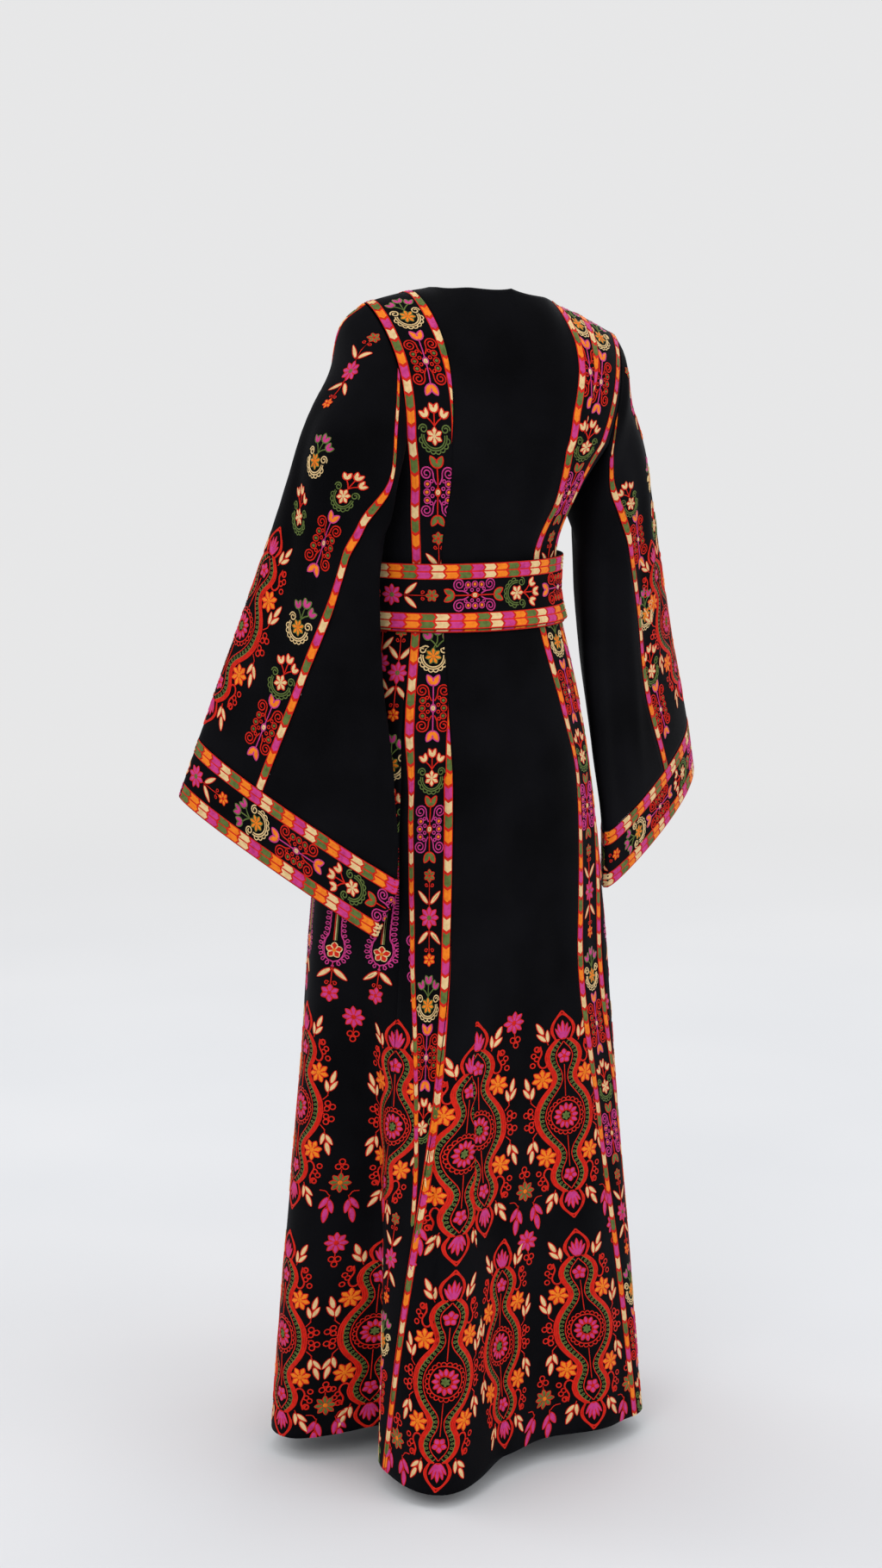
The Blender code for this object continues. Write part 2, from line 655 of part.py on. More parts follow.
def posed_wall(name, grid, normals, material, closed=False):
    """A wall whose grid and whose inner face are both stood as the garment is worn."""
    moved = pose(grid)
    inner = pose(grid - CLOTH * normals)
    inward = (moved - inner)
    inward /= np.linalg.norm(inward, axis=-1, keepdims=True)
    return wall(name, moved, inward, material, closed)


def cloth_material(name, colour, roughness):
    material = bpy.data.materials.new(name)
    material.use_nodes = True
    shader = material.node_tree.nodes["Principled BSDF"]
    shader.inputs["Base Color"].default_value = colour
    shader.inputs["Roughness"].default_value = roughness
    shader.inputs["Metallic"].default_value = 0.0
    return material


def clear_scene():
    for item in list(bpy.data.objects):
        bpy.data.objects.remove(item, do_unlink=True)


def build_body(crepe, band_cloth):
    for name in PIECE_ORDER:
        if name.startswith("side"):
            shares = np.linspace(0.0, 1.0, SIDE_STEPS + 1)
            grid, normals = side_panel(name, shares)
            posed_wall(name, grid, normals, crepe)
        elif name.endswith("panel"):
            shares = np.linspace(0.0, 1.0, PANEL_STEPS + 1)
            grid, normals = yoked_piece(name, shares)
            posed_wall(name, grid, normals, crepe)
        else:
            shares = np.linspace(0.0, 1.0, BAND_STEPS + 1)
            grid, normals = yoked_piece(name, shares)
            posed_wall(name, grid, normals, band_cloth)


def build_sleeves(crepe, band_cloth):
    for side in ("left", "right"):
        sleeve = Sleeve(side)
        wall("sleeve_top_" + side, *sleeve_piece(sleeve, "top", SLEEVE_TOP_STEPS), band_cloth)
        wall("sleeve_under_" + side, *sleeve_piece(sleeve, "under", SLEEVE_UNDER_STEPS), crepe)
        wall("cuff_" + side, *cuff_piece(sleeve), band_cloth, closed=True)


def main():
    clear_scene()
    crepe = cloth_material("black_crepe", BLACK_CREPE, 0.85)
    band_cloth = cloth_material("embroidered_crepe", EMBROIDERED, 0.75)
    build_body(crepe, band_cloth)
    build_sleeves(crepe, band_cloth)
    posed_wall("belt", *belt_piece(), band_cloth)


main()
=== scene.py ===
"""Looks of a worn, embroidered full-length thobe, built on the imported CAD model.

The cloth is rebuilt from the same tables as the CAD, on finer grids with soft creases, and the
embroidery is laid on it as low raised cords and satin stitches, motif by motif.
"""
import math

import bpy
import numpy as np
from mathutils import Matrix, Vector


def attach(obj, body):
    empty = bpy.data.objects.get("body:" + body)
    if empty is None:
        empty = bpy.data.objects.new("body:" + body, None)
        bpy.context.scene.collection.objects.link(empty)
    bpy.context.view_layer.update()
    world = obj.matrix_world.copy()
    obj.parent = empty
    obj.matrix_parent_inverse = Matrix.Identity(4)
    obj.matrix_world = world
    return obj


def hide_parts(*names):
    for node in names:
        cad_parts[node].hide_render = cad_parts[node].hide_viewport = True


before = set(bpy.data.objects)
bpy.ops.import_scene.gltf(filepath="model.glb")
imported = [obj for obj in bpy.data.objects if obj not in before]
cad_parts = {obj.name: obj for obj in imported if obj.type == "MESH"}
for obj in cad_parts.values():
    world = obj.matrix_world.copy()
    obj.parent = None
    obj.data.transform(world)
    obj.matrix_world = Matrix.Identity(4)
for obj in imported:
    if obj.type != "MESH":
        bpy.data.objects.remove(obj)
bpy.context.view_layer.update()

# ---------------------------------------------------------------- the garment's form (metres)
CLOTH = 0.0010            # shown thickness of the cloth
SEAM_GAP = 0.0001         # between two pieces that are sewn together
SLEEVE_SEAM = 0.0007      # the same along a sleeve
SHOULDER_GAP = 0.0030     # radians by which each side stops short of the shoulder seam
# How far a sleeve's head stands outside the armhole, and the gaps at its head and above its
# cuff, as shares of its length.
HEAD_OUT, HEAD_GAP, CUFF_GAP = 0.0008, 0.0025, 0.0008
HEM_Z, HEM_RISE, HEM_LIFT_TOP, DEEPEST_FOLD = -1.370, 0.012, -1.000, 0.080
YOKE_Z, UNDERARM_Z, ARMHOLE_SQUARE, SIDE_TOP_Z = -0.160, -0.222, 0.7, -0.262
BAND_WIDTH = 0.063
# Half the neck opening, the bands' inner edge and the shoulder seam's outer end, at the seam.
NECK_HALF, NECK_X, SHOULDER_X = 0.075, 0.103, 0.158
NECK_BACK, NECK_FRONT = 58.0, 34.0    # degrees up the yoke to the neckline's lowest point
YOKE_ROUND_BACK, YOKE_ROUND_FRONT = 2.2, 1.75
SHOULDER_RIDGE_X = (0.0, 0.045, NECK_HALF, NECK_X, SHOULDER_X, 0.180)
SHOULDER_RIDGE_Z = (0.042, 0.026, 0.006, -0.0025, -0.023, -0.035)
CUFF_DEPTH = 0.076
BELT_TOP, BELT_HEIGHT, BELT_CLEAR, BELT_PITCH, BELT_SLIP = -0.301, 0.077, 0.0016, 0.0034, 0.005
BELT_WALL, BELT_START, BELT_TURNS, BELT_SETTLE, BELT_LEAN = 0.0016, 60.0, 1.90, 0.25, 0.3
BELT_RIPPLE, BELT_RIPPLES, RIPPLE_SLANT = 0.0006, 7.0, 60.0   # depth, per radian, per metre up
SWAY, SWAY_TOP, SWAY_BOTTOM = 0.043, -0.03, -0.30
TILT, TILT_TOP, TILT_BOTTOM = 0.128, -0.08, -0.25

# z, half width, back, front, squareness, bearing of the back panel's edge, panel width
BODY_SECTIONS = (
    (-0.160, 0.165, 0.118, 0.120, 2.40, 32.5, 0.168),
    (-0.222, 0.141, 0.115, 0.122, 2.30, 28.5, 0.148),
    (-0.300, 0.121, 0.101, 0.104, 2.15, 30.5, 0.120),
    (-0.340, 0.119, 0.101, 0.102, 2.10, 30.0, 0.119),
    (-0.380, 0.127, 0.110, 0.109, 2.10, 28.5, 0.126),
    (-0.487, 0.153, 0.126, 0.122, 2.05, 24.5, 0.158),
    (-0.570, 0.167, 0.135, 0.130, 2.00, 22.5, 0.182),
    (-0.750, 0.184, 0.148, 0.146, 2.00, 23.5, 0.184),
    (-0.990, 0.198, 0.165, 0.165, 2.00, 30.5, 0.264),
    (-1.180, 0.212, 0.178, 0.180, 2.00, 38.0, 0.355),
    (-1.370, 0.225, 0.190, 0.190, 2.00, 43.0, 0.438),
)
# z, and how much of the left back band shows beside the gathered back panel
TUCKED_BAND = (
    (-0.110, 0.063), (-0.160, 0.053), (-0.222, 0.046), (-0.300, 0.035), (-0.380, 0.039),
    (-0.470, 0.053), (-0.540, 0.060), (-0.620, 0.063),
)
# bearing, reach before and after, out, top, growth
FOLDS = (
    (90.0, 20.0, 16.0, 0.014, -0.70, 1.0),
    (119.0, 22.0, 17.0, -0.082, -0.72, 0.9),
    (155.0, 29.0, 23.0, 0.076, -0.60, 0.9),
    (200.0, 32.0, 34.0, -0.028, -0.70, 1.0),
    (246.0, 14.0, 20.0, 0.014, -0.55, 1.0),
    (282.0, 18.0, 18.0, -0.055, -0.62, 1.0),
    (309.0, 20.0, 20.0, 0.052, -0.70, 1.0),
    (345.0, 25.0, 22.0, -0.024, -0.65, 1.0),
    (20.0, 22.0, 20.0, 0.050, -0.55, 1.0),
    (58.0, 20.0, 17.0, -0.044, -0.68, 1.0),
)
# f, the share of the way down the sleeve; upper fold x y z, lower fold x y z, cloth behind,
# cloth before
LEFT_SLEEVE = (
    (0.00, 0.158, 0.000, -0.003, 0.186, 0.000, -0.210, 0.070, 0.062),
    (0.06, 0.186, -0.001, -0.028, 0.176, 0.034, -0.232, 0.066, 0.046),
    (0.13, 0.198, -0.005, -0.074, 0.162, 0.072, -0.254, 0.054, 0.032),
    (0.30, 0.229, -0.017, -0.166, 0.174, 0.088, -0.334, 0.036, 0.024),
    (0.50, 0.268, -0.032, -0.284, 0.176, 0.106, -0.434, 0.028, 0.026),
    (0.70, 0.310, -0.048, -0.405, 0.172, 0.134, -0.553, 0.024, 0.028),
    (0.88, 0.347, -0.062, -0.514, 0.173, 0.150, -0.661, 0.022, 0.026),
    (1.00, 0.371, -0.072, -0.586, 0.195, 0.136, -0.733, 0.016, 0.024),
)
RIGHT_SLEEVE = (
    (0.00, -0.158, 0.000, -0.043, -0.118, 0.000, -0.226, 0.070, 0.062),
    (0.06, -0.170, -0.006, -0.062, -0.116, 0.002, -0.246, 0.064, 0.056),
    (0.13, -0.178, -0.026, -0.105, -0.117, 0.004, -0.278, 0.056, 0.050),
    (0.30, -0.209, -0.070, -0.196, -0.121, 0.006, -0.352, 0.048, 0.040),
    (0.50, -0.250, -0.112, -0.304, -0.126, 0.006, -0.442, 0.042, 0.036),
    (0.70, -0.291, -0.147, -0.420, -0.138, 0.008, -0.552, 0.036, 0.034),
    (0.88, -0.330, -0.174, -0.530, -0.148, 0.016, -0.650, 0.032, 0.034),
    (1.00, -0.351, -0.190, -0.602, -0.151, 0.010, -0.722, 0.030, 0.036),
)
HEAD_BLEND, SLEEVE_TURN, SLEEVE_DROP = 0.20, 0.30, 0.35
REST_TOP, REST_BLEND, REST_START, REST_CLEAR, REST_BELT = -0.172, 0.030, 0.0036, 0.0060, 0.0110
# f, edge of the top panel behind and before the upper fold
LEFT_PANEL = (
    (0.00, 0.115, 0.004), (0.06, 0.170, 0.010), (0.13, 0.205, 0.022), (0.20, 0.200, 0.034),
    (0.30, 0.180, 0.052), (0.50, 0.150, 0.086), (0.70, 0.134, 0.106), (1.00, 0.118, 0.116),
)
RIGHT_PANEL = (
    (0.00, 0.125, 0.004), (0.06, 0.165, 0.008), (0.13, 0.168, 0.016), (0.20, 0.166, 0.028),
    (0.30, 0.160, 0.046), (0.50, 0.154, 0.080), (0.70, 0.166, 0.104), (1.00, 0.155, 0.116),
)
PIECE_ORDER = ("back_panel", "back_band_right", "side_panel_right", "front_band_right",
               "front_panel", "front_band_left", "side_panel_left", "back_band_left")

# How fine the shown cloth is
BODY_ROWS, YOKE_ROWS = 152, 30
BODY_COLUMNS = {"panel": 56, "band": 10, "side": 40}
SLEEVE_ROWS, TOP_COLUMNS, UNDER_COLUMNS = 84, 34, 44
CUFF_ROWS, CUFF_COLUMNS = 12, 110
BELT_ROWS, BELT_COLUMNS = 10, 230
RING_POINTS, SLEEVE_POINTS, ARMHOLE_STEPS, SIDE_TOP_ROWS = 720, 240, 24, 14
RUN_STEPS = 400           # of the table from the length up a sleeve's column to its rows


def smooth(xs, ys, x):
    """Monotone cubic through a table."""
    xs, ys = np.asarray(xs, float), np.asarray(ys, float)
    if xs[0] > xs[-1]:
        xs, ys = xs[::-1], ys[::-1]
    step = np.diff(xs)
    slope = np.diff(ys) / step
    tangent = np.zeros_like(ys)
    tangent[0], tangent[-1] = slope[0], slope[-1]
    for i in range(1, len(xs) - 1):
        if slope[i - 1] * slope[i] > 0.0:
            tangent[i] = 2.0 / (1.0 / slope[i - 1] + 1.0 / slope[i])
    x = np.clip(x, xs[0], xs[-1])
    k = np.clip(np.searchsorted(xs, x, side="right") - 1, 0, len(step) - 1)
    t = (x - xs[k]) / step[k]
    return ((1 + 2 * t) * (1 - t) ** 2 * ys[k] + t * (1 - t) ** 2 * step[k] * tangent[k]
            + t * t * (3 - 2 * t) * ys[k + 1] + t * t * (t - 1) * step[k] * tangent[k + 1])


def looked_up(table, place, x):
    return smooth([row[0] for row in table], [row[place] for row in table], x)


def unit(vectors, least=1e-12):
    return vectors / np.maximum(np.linalg.norm(vectors, axis=-1, keepdims=True), least)


def turned_from(bearing, degrees):
    """The turn from a bearing, between -180 and 180 degrees."""
    return (degrees - bearing + 180.0) % 360.0 - 180.0


def ease(t):
    t = np.clip(t, 0.0, 1.0)
    return t * t * (3.0 - 2.0 * t)


def pose(points):
    """Stand the upright garment as it is worn: hips to the left, right shoulder down."""
    points = np.array(points, dtype=float)
    z = points[..., 2].copy()
    sway = SWAY * ease((SWAY_TOP - z) / (SWAY_TOP - SWAY_BOTTOM))
    tilt = TILT * (1.0 - ease((TILT_TOP - z) / (TILT_TOP - TILT_BOTTOM)))
    points[..., 2] += tilt * points[..., 0]
    points[..., 0] += sway
    return points


def unpose(points):
    upright = np.array(points, dtype=float)
    for _ in range(5):
        upright += points - pose(upright)
    return upright


def outward(points):
    """Unit normals of a grid whose rows run up and whose columns run right, seen from outside."""
    return unit(np.cross(np.gradient(points, axis=1), np.gradient(points, axis=0)))


def lengths(points):
    steps = np.linalg.norm(np.diff(points, axis=0), axis=1)
    return np.concatenate([[0.0], np.cumsum(steps)])


# ---------------------------------------------------------------- body
def fold_depth(theta, z):
    theta, z = np.broadcast_arrays(np.asarray(theta, float), np.asarray(z, float))
    total = np.zeros(theta.shape)
    for bearing, before, after, out, top, growth in FOLDS:
        grown = np.clip((top - z) / (top - HEM_Z), 0.0, None) ** growth
        turn = turned_from(bearing, np.degrees(theta))
        reach = np.where(turn < 0.0, before, after)
        total += out * grown * 0.5 * (1.0 + np.cos(np.pi * np.clip(np.abs(turn) / reach, 0, 1)))
    return total


def ring_radius(theta, z):
    square, half_width = looked_up(BODY_SECTIONS, 4, z), looked_up(BODY_SECTIONS, 1, z)
    depth = np.where(np.cos(theta) < 0.0, looked_up(BODY_SECTIONS, 2, z),
                     looked_up(BODY_SECTIONS, 3, z))
    oval = (np.abs(np.sin(theta) / half_width) ** square
            + np.abs(np.cos(theta) / depth) ** square) ** (-1.0 / square)
    return oval + fold_depth(theta, z)


def ring_at(theta, z):
    radius = ring_radius(theta, z)
    share = ease((HEM_LIFT_TOP - z) / (HEM_LIFT_TOP - HEM_Z))
    lift = -HEM_RISE * share * fold_depth(theta, HEM_Z) / DEEPEST_FOLD
    return np.stack([radius * np.sin(theta), -radius * np.cos(theta), z + lift], axis=-1)


class Ring:
    """A level section measured along the cloth from the back panel's left edge."""

    def __init__(self, z):
        edge = math.pi - math.radians(float(looked_up(BODY_SECTIONS, 5, z)))
        self.theta = edge + np.linspace(0.0, 2.0 * math.pi, RING_POINTS + 1)
        self.along = lengths(ring_at(self.theta, z))
        self.length = self.along[-1]
        panel = float(looked_up(BODY_SECTIONS, 6, z))
        tucked = float(looked_up(TUCKED_BAND, 1, z))
        side = 0.5 * (self.length - 2.0 * panel - 3.0 * BAND_WIDTH - tucked)
        widths = (panel, BAND_WIDTH, side, BAND_WIDTH, panel, BAND_WIDTH, side, tucked)
        self.seams = np.concatenate([[0.0], np.cumsum(widths)])

    def bearing(self, along):
        return np.interp(np.mod(along, self.length), self.along, self.theta)


RINGS = {}


def ring(z):
    key = round(float(z), 6)
    if key not in RINGS:
        RINGS[key] = Ring(float(z))
    return RINGS[key]


def edges_of(name, z):
    place = PIECE_ORDER.index(name)
    seams = ring(z).seams
    return seams[place] + 0.5 * SEAM_GAP, seams[place + 1] - 0.5 * SEAM_GAP


def across(name, z, shares):
    start, end = edges_of(name, z)
    return ring(z).bearing(start + (end - start) * shares)


def shoulder_point(x, angle, behind):
    square, half_width, depth = (float(looked_up(BODY_SECTIONS, i, YOKE_Z))
                                 for i in (4, 1, 2 if behind else 3))
    roundness = YOKE_ROUND_BACK if behind else YOKE_ROUND_FRONT
    reach = depth * (1.0 - (np.abs(x) / half_width) ** square) ** (1.0 / square)
    level = np.clip(np.cos(angle), 0.0, 1.0) ** (2.0 / roundness)
    rise = np.clip(np.sin(angle), 0.0, 1.0) ** (2.0 / roundness)
    ridge = smooth(SHOULDER_RIDGE_X, SHOULDER_RIDGE_Z, np.abs(x))
    y = (1.0 if behind else -1.0) * reach * level
    return np.stack(np.broadcast_arrays(x, y, YOKE_Z + (ridge - YOKE_Z) * rise), axis=-1)


def yoke_row(name, shares, q):
    """One row of points above the yoke level, q from 0 (yoke) to 1 (shoulder or neckline)."""
    behind = name.startswith("back")
    start = ring_at(across(name, YOKE_Z, shares), YOKE_Z)[:, 0]
    inner = NECK_X - 0.5 * SEAM_GAP
    if name.endswith("panel"):
        end = inner * np.sign(start[0]) * (1.0 - 2.0 * shares)
    else:
        near, far = NECK_X + 0.5 * SEAM_GAP, SHOULDER_X
        if abs(start[0]) > abs(start[-1]):
            near, far = far, near
        end = np.sign(start[0]) * (near + (far - near) * shares)
    lowest = math.radians(NECK_BACK if behind else NECK_FRONT)
    inside = np.clip(1.0 - (np.abs(end) / NECK_HALF) ** 2, 0.0, 1.0)
    closed = 0.5 * math.pi - SHOULDER_GAP
    stop = closed - (closed - lowest) * np.sqrt(inside)
    return start + (end - start) * math.sin(0.5 * math.pi * q), q * stop, behind


def side_top(shares):
    return YOKE_Z + (UNDERARM_Z - YOKE_Z) * np.sin(math.pi * shares) ** ARMHOLE_SQUARE


# ---------------------------------------------------------------- creases
# Soft troughs (depth > 0) and ridges of the body: bearing at the top, z at the top, bearing at
# the bottom, z at the bottom, half width in metres, depth.
BODY_CREASES = (
    (157, -0.39, 160, -1.02, 0.017, 0.0040),
    (171, -0.385, 177, -0.86, 0.022, -0.0035),
    (186, -0.39, 196, -1.12, 0.024, 0.0045),
    (201, -0.39, 213, -0.98, 0.018, 0.0030),
    (149, -0.39, 141, -0.80, 0.014, 0.0026),
    (132, -0.40, 126, -1.00, 0.018, -0.0035),
    (110, -0.39, 106, -0.90, 0.020, 0.0040),
    (84, -0.40, 82, -1.05, 0.022, 0.0035),
    (62, -0.39, 60, -0.85, 0.018, 0.0035),
    (35, -0.39, 33, -1.05, 0.022, -0.0040),
    (8, -0.39, 4, -0.90, 0.022, 0.0040),
    (-18, -0.39, -22, -1.10, 0.022, -0.0035),
    (-42, -0.39, -44, -0.88, 0.020, 0.0038),
    (-70, -0.40, -74, -1.00, 0.020, -0.0035),
    (-96, -0.39, -98, -0.90, 0.018, 0.0035),
    (-122, -0.40, -120, -1.05, 0.020, 0.0032),
    (163, -0.13, 160, -0.305, 0.016, 0.0026),
    (178, -0.10, 181, -0.305, 0.020, -0.0028),
    (195, -0.12, 198, -0.305, 0.015, 0.0030),
    (208, -0.17, 213, -0.305, 0.012, -0.0022),
    (20, -0.14, 12, -0.305, 0.018, 0.0028),
    (-6, -0.10, -6, -0.305, 0.018, -0.0026),
    (-28, -0.14, -20, -0.305, 0.016, 0.0028),
    (95, -0.23, 92, -0.305, 0.012, 0.0026),
    (-95, -0.23, -92, -0.305, 0.012, 0.0026),
)
# The back panel's pleat: z and bearing; its depth and width, and the ridge beside it.
PLEAT = ((-0.50, 152.5), (-0.80, 151.0), (-1.00, 151.5), (-1.20, 153.5), (-1.34, 156.0))
PLEAT_DEPTH, PLEAT_WIDTH, RIDGE_SHARE, RIDGE_AWAY, RIDGE_WIDTH = 0.0085, 0.0048, 0.4, 0.020, 0.014
PLEAT_TOP, PLEAT_TOP_FADE, PLEAT_END, PLEAT_END_FADE = -0.42, 0.20, -1.365, 0.16
FADE_UP, FADE_DOWN = 3.2, 5.0         # how fast a crease fades in from its bottom, and its top
PAST_ENDS = 0.2                       # how far past its ends a crease keeps its course


def fading(z, top, bottom):
    """Rises from 0 at both ends of a crease to 1 along its middle."""
    share = (z - bottom) / (top - bottom)
    return ease(np.clip(share, 0, 1) * FADE_UP) * ease(np.clip(1.0 - share, 0, 1) * FADE_DOWN)


def crease_shift(theta, z, radius):
    """How far the creases move the cloth inwards (negative) or outwards."""
    shift = np.zeros(theta.shape)
    degrees = np.degrees(theta)
    for top_at, top, bottom_at, bottom, width, depth in BODY_CREASES:
        share = np.clip((z - bottom) / (top - bottom), -PAST_ENDS, 1.0 + PAST_ENDS)
        centre = bottom_at + (top_at - bottom_at) * share
        away = np.radians(turned_from(centre, degrees)) * radius
        shift -= depth * fading(z, top, bottom) * np.exp(-(away / width) ** 2)
    away = np.radians(turned_from(looked_up(PLEAT, 1, z), degrees)) * radius
    strength = (ease((PLEAT_TOP - z) / PLEAT_TOP_FADE)
                * ease((z - PLEAT_END) / PLEAT_END_FADE))
    shift -= strength * PLEAT_DEPTH * np.exp(-np.abs(away) / PLEAT_WIDTH)
    ridge = np.exp(-((away - RIDGE_AWAY) / RIDGE_WIDTH) ** 2)
    shift += strength * RIDGE_SHARE * PLEAT_DEPTH * ridge
    return shift


class Cloth:
    """A cut piece as a grid of outer points. v runs up its rows, u across its columns.

    v is one height per row, or the length up each column from the lowest row."""

    def __init__(self, name, points, v, edges, mirrored=False, closed=False):
        self.name, self.points = name, points
        self.v, self.edges = np.asarray(v, float), np.asarray(edges)
        self.rows, self.columns = points.shape[:2]
        self.normals = outward(points) * (-1.0 if mirrored else 1.0)
        if closed:
            seam = outward(np.concatenate([points[:, -3:-1], points[:, :3]], axis=1))[:, 2:3]
            self.normals[:, [0]] = self.normals[:, [-1]] = seam * (-1.0 if mirrored else 1.0)
        self.mirrored, self.closed = mirrored, closed
        if self.v.ndim == 2:
            self.step = self.v[-1].max() / RUN_STEPS
            at = np.arange(RUN_STEPS + 2) * self.step
            self.table = np.array([np.interp(at, run, np.arange(self.rows))
                                   for run in self.v.T])

    def row_of(self, column, v):
        if self.v.ndim == 1:
            return np.interp(v, self.v, np.arange(self.rows))
        c = np.minimum(column.astype(int), self.columns - 2)
        k = np.clip(v / self.step, 0.0, RUN_STEPS)
        i = k.astype(int)
        t, s = column - c, k - i
        return ((self.table[c, i] * (1 - s) + self.table[c, i + 1] * s) * (1 - t)
                + (self.table[c + 1, i] * (1 - s) + self.table[c + 1, i + 1] * s) * t)

    def limits(self, row):
        numbers = np.arange(self.rows)
        return (np.interp(row, numbers, self.edges[:, 0]),
                np.interp(row, numbers, self.edges[:, 1]))

    def find(self, u, v, anchor=None):
        """The place across, its row and the row's limits; anchor counts u from an edge."""
        last = self.columns - 1
        column = np.full(v.shape, {"low": 0.0, None: 0.5, "high": 1.0}[anchor] * last)
        for _ in range(3):
            row = self.row_of(column, v)
            low, high = self.limits(row)
            place = u + (low if anchor == "low" else high if anchor == "high" else 0.0)
            column = np.clip((place - low) / (high - low), 0.0, 1.0) * last
        return place, row, low, high

    def beyond(self, v, place, low, high):
        """Is v below the lowest row or above the highest?"""
        if self.v.ndim == 1:
            return (v < self.v[0]) | (v > self.v[-1])
        share = np.clip((place - low) / (high - low), 0.0, 1.0) * (self.columns - 1)
        return (v < 0.0) | (v > np.interp(share, np.arange(self.columns), self.v[-1]))

    def at(self, place, row, low, high, lift):
        share = (place - low) / (high - low)
        share = np.mod(share, 1.0) if self.closed else np.clip(share, 0.0, 1.0)
        column = share * (self.columns - 1)
        r = np.minimum(row.astype(int), self.rows - 2)
        c = np.minimum(column.astype(int), self.columns - 2)
        s, t = (row - r)[:, None], (column - c)[:, None]

        def mixed(grid):
            return ((grid[r, c] * (1 - t) + grid[r, c + 1] * t) * (1 - s)
                    + (grid[r + 1, c] * (1 - t) + grid[r + 1, c + 1] * t) * s)

        return mixed(self.points) + mixed(self.normals) * lift[:, None]


def measured_edges(name, z):
    """Edges of a body piece from the back panel's left edge, negative to the wearer's left."""
    low, high = edges_of(name, z)
    turn = ring(z).length if name in ("side_panel_left", "back_band_left") else 0.0
    return low - turn, high - turn


def body_cloth(name):
    """A body piece with its creases: u from its left edge, v the height and then the yoke."""
    kind = "side" if name.startswith("side") else name.split("_")[1]
    shares = np.linspace(0.0, 1.0, BODY_COLUMNS[kind] + 1)
    top = SIDE_TOP_Z if kind == "side" else YOKE_Z
    levels = np.linspace(HEM_Z, top, int(BODY_ROWS * (top - HEM_Z) / (YOKE_Z - HEM_Z)) + 1)
    rows, bearings, edges, v = [], [], [], list(levels)
    for z in levels:
        theta = across(name, z, shares)
        rows.append(ring_at(theta, z))
        bearings.append((theta, np.full(len(theta), z)))
        edges.append(measured_edges(name, z))
    if kind == "side":
        tops = side_top(shares)
        for step in np.linspace(0.0, 1.0, SIDE_TOP_ROWS + 1)[1:]:
            heights = SIDE_TOP_Z + (tops - SIDE_TOP_Z) * step
            theta = np.array([across(name, h, np.array([s]))[0]
                              for h, s in zip(heights, shares)])
            rows.append(ring_at(theta, heights))
            bearings.append((theta, heights))
            edges.append(measured_edges(name, float(heights.mean())))
            v.append(SIDE_TOP_Z + step * (YOKE_Z - SIDE_TOP_Z))
    points = np.array(rows)
    theta, z = (np.array(item) for item in zip(*bearings))
    radius = np.hypot(points[..., 0], points[..., 1])
    level = outward(points) * np.array([1.0, 1.0, 0.0])
    points = points + level * crease_shift(theta, z, radius)[..., None]
    if kind != "side":
        extra, middle = [], len(shares) // 2
        for q in np.linspace(0.0, 1.0, YOKE_ROWS + 1)[1:]:
            x, angle, behind = yoke_row(name, shares, q)
            extra.append(shoulder_point(x, angle, behind))
        points = np.concatenate([points, np.array(extra)])
        climb = lengths(points[-YOKE_ROWS - 1:, middle])[1:]
        width = np.linalg.norm(np.diff(points, axis=1), axis=-1).sum(axis=1)
        low, high = edges[-1]
        for rise, wide in zip(climb, width[-YOKE_ROWS:]):
            v.append(YOKE_Z + rise)
            pull = 0.5 * (wide - (high - low))
            edges.append((low - pull, high + pull))
    return Cloth(name, pose(points), v, edges)


# ---------------------------------------------------------------- sleeves
def rested(points, share):
    """Points of a sleeve, moved out wherever they would enter the body or its belt."""
    upright = unpose(points)
    z = upright[:, 2]
    theta = np.arctan2(upright[:, 0], -upright[:, 1])
    body = ring_radius(theta, np.clip(z, HEM_Z, YOKE_Z))
    over_belt = 1.0 - ease((np.abs(z - BELT_TOP + 0.5 * BELT_HEIGHT) - 0.5 * BELT_HEIGHT)
                           / REST_BLEND)
    clear = REST_START + share * (REST_CLEAR + REST_BELT * over_belt)
    radius = np.hypot(upright[:, 0], upright[:, 1])
    moved = radius + ease((REST_TOP - z) / REST_BLEND) * np.maximum(body + clear - radius, 0.0)
    upright[:, :2] *= (moved / radius)[:, None]
    return pose(upright)


def armhole(side):
    """The armhole's outline, posed, as its back and its front run from the shoulder down."""
    runs = []
    for name in ("back_band_" + side, "front_band_" + side):
        outer = 1 if name in ("back_band_right", "front_band_left") else 0
        points = []
        for q in np.linspace(1.0, 0.0, ARMHOLE_STEPS + 1):
            x, angle, behind = yoke_row(name, np.array([0.0, 1.0]), q)
            points.append(shoulder_point(x, angle, behind)[outer])
        toward_middle = np.linspace(0.0, 0.5, ARMHOLE_STEPS // 2 + 1)[1:]
        if name.startswith("back") != (side == "right"):
            toward_middle = 1.0 - toward_middle
        for share in toward_middle:
            z = float(side_top(share))
            points.append(ring_at(across("side_panel_" + side, z, np.array([share])), z)[0])
        runs.append(pose(np.array(points)))
    return runs


def by_length(points, shares):
    along = lengths(points)
    return np.stack([np.interp(shares * along[-1], along, points[:, i]) for i in range(3)], -1)


SLEEVE_FADE = 4.0         # how fast a sleeve's folds fade in from their ends
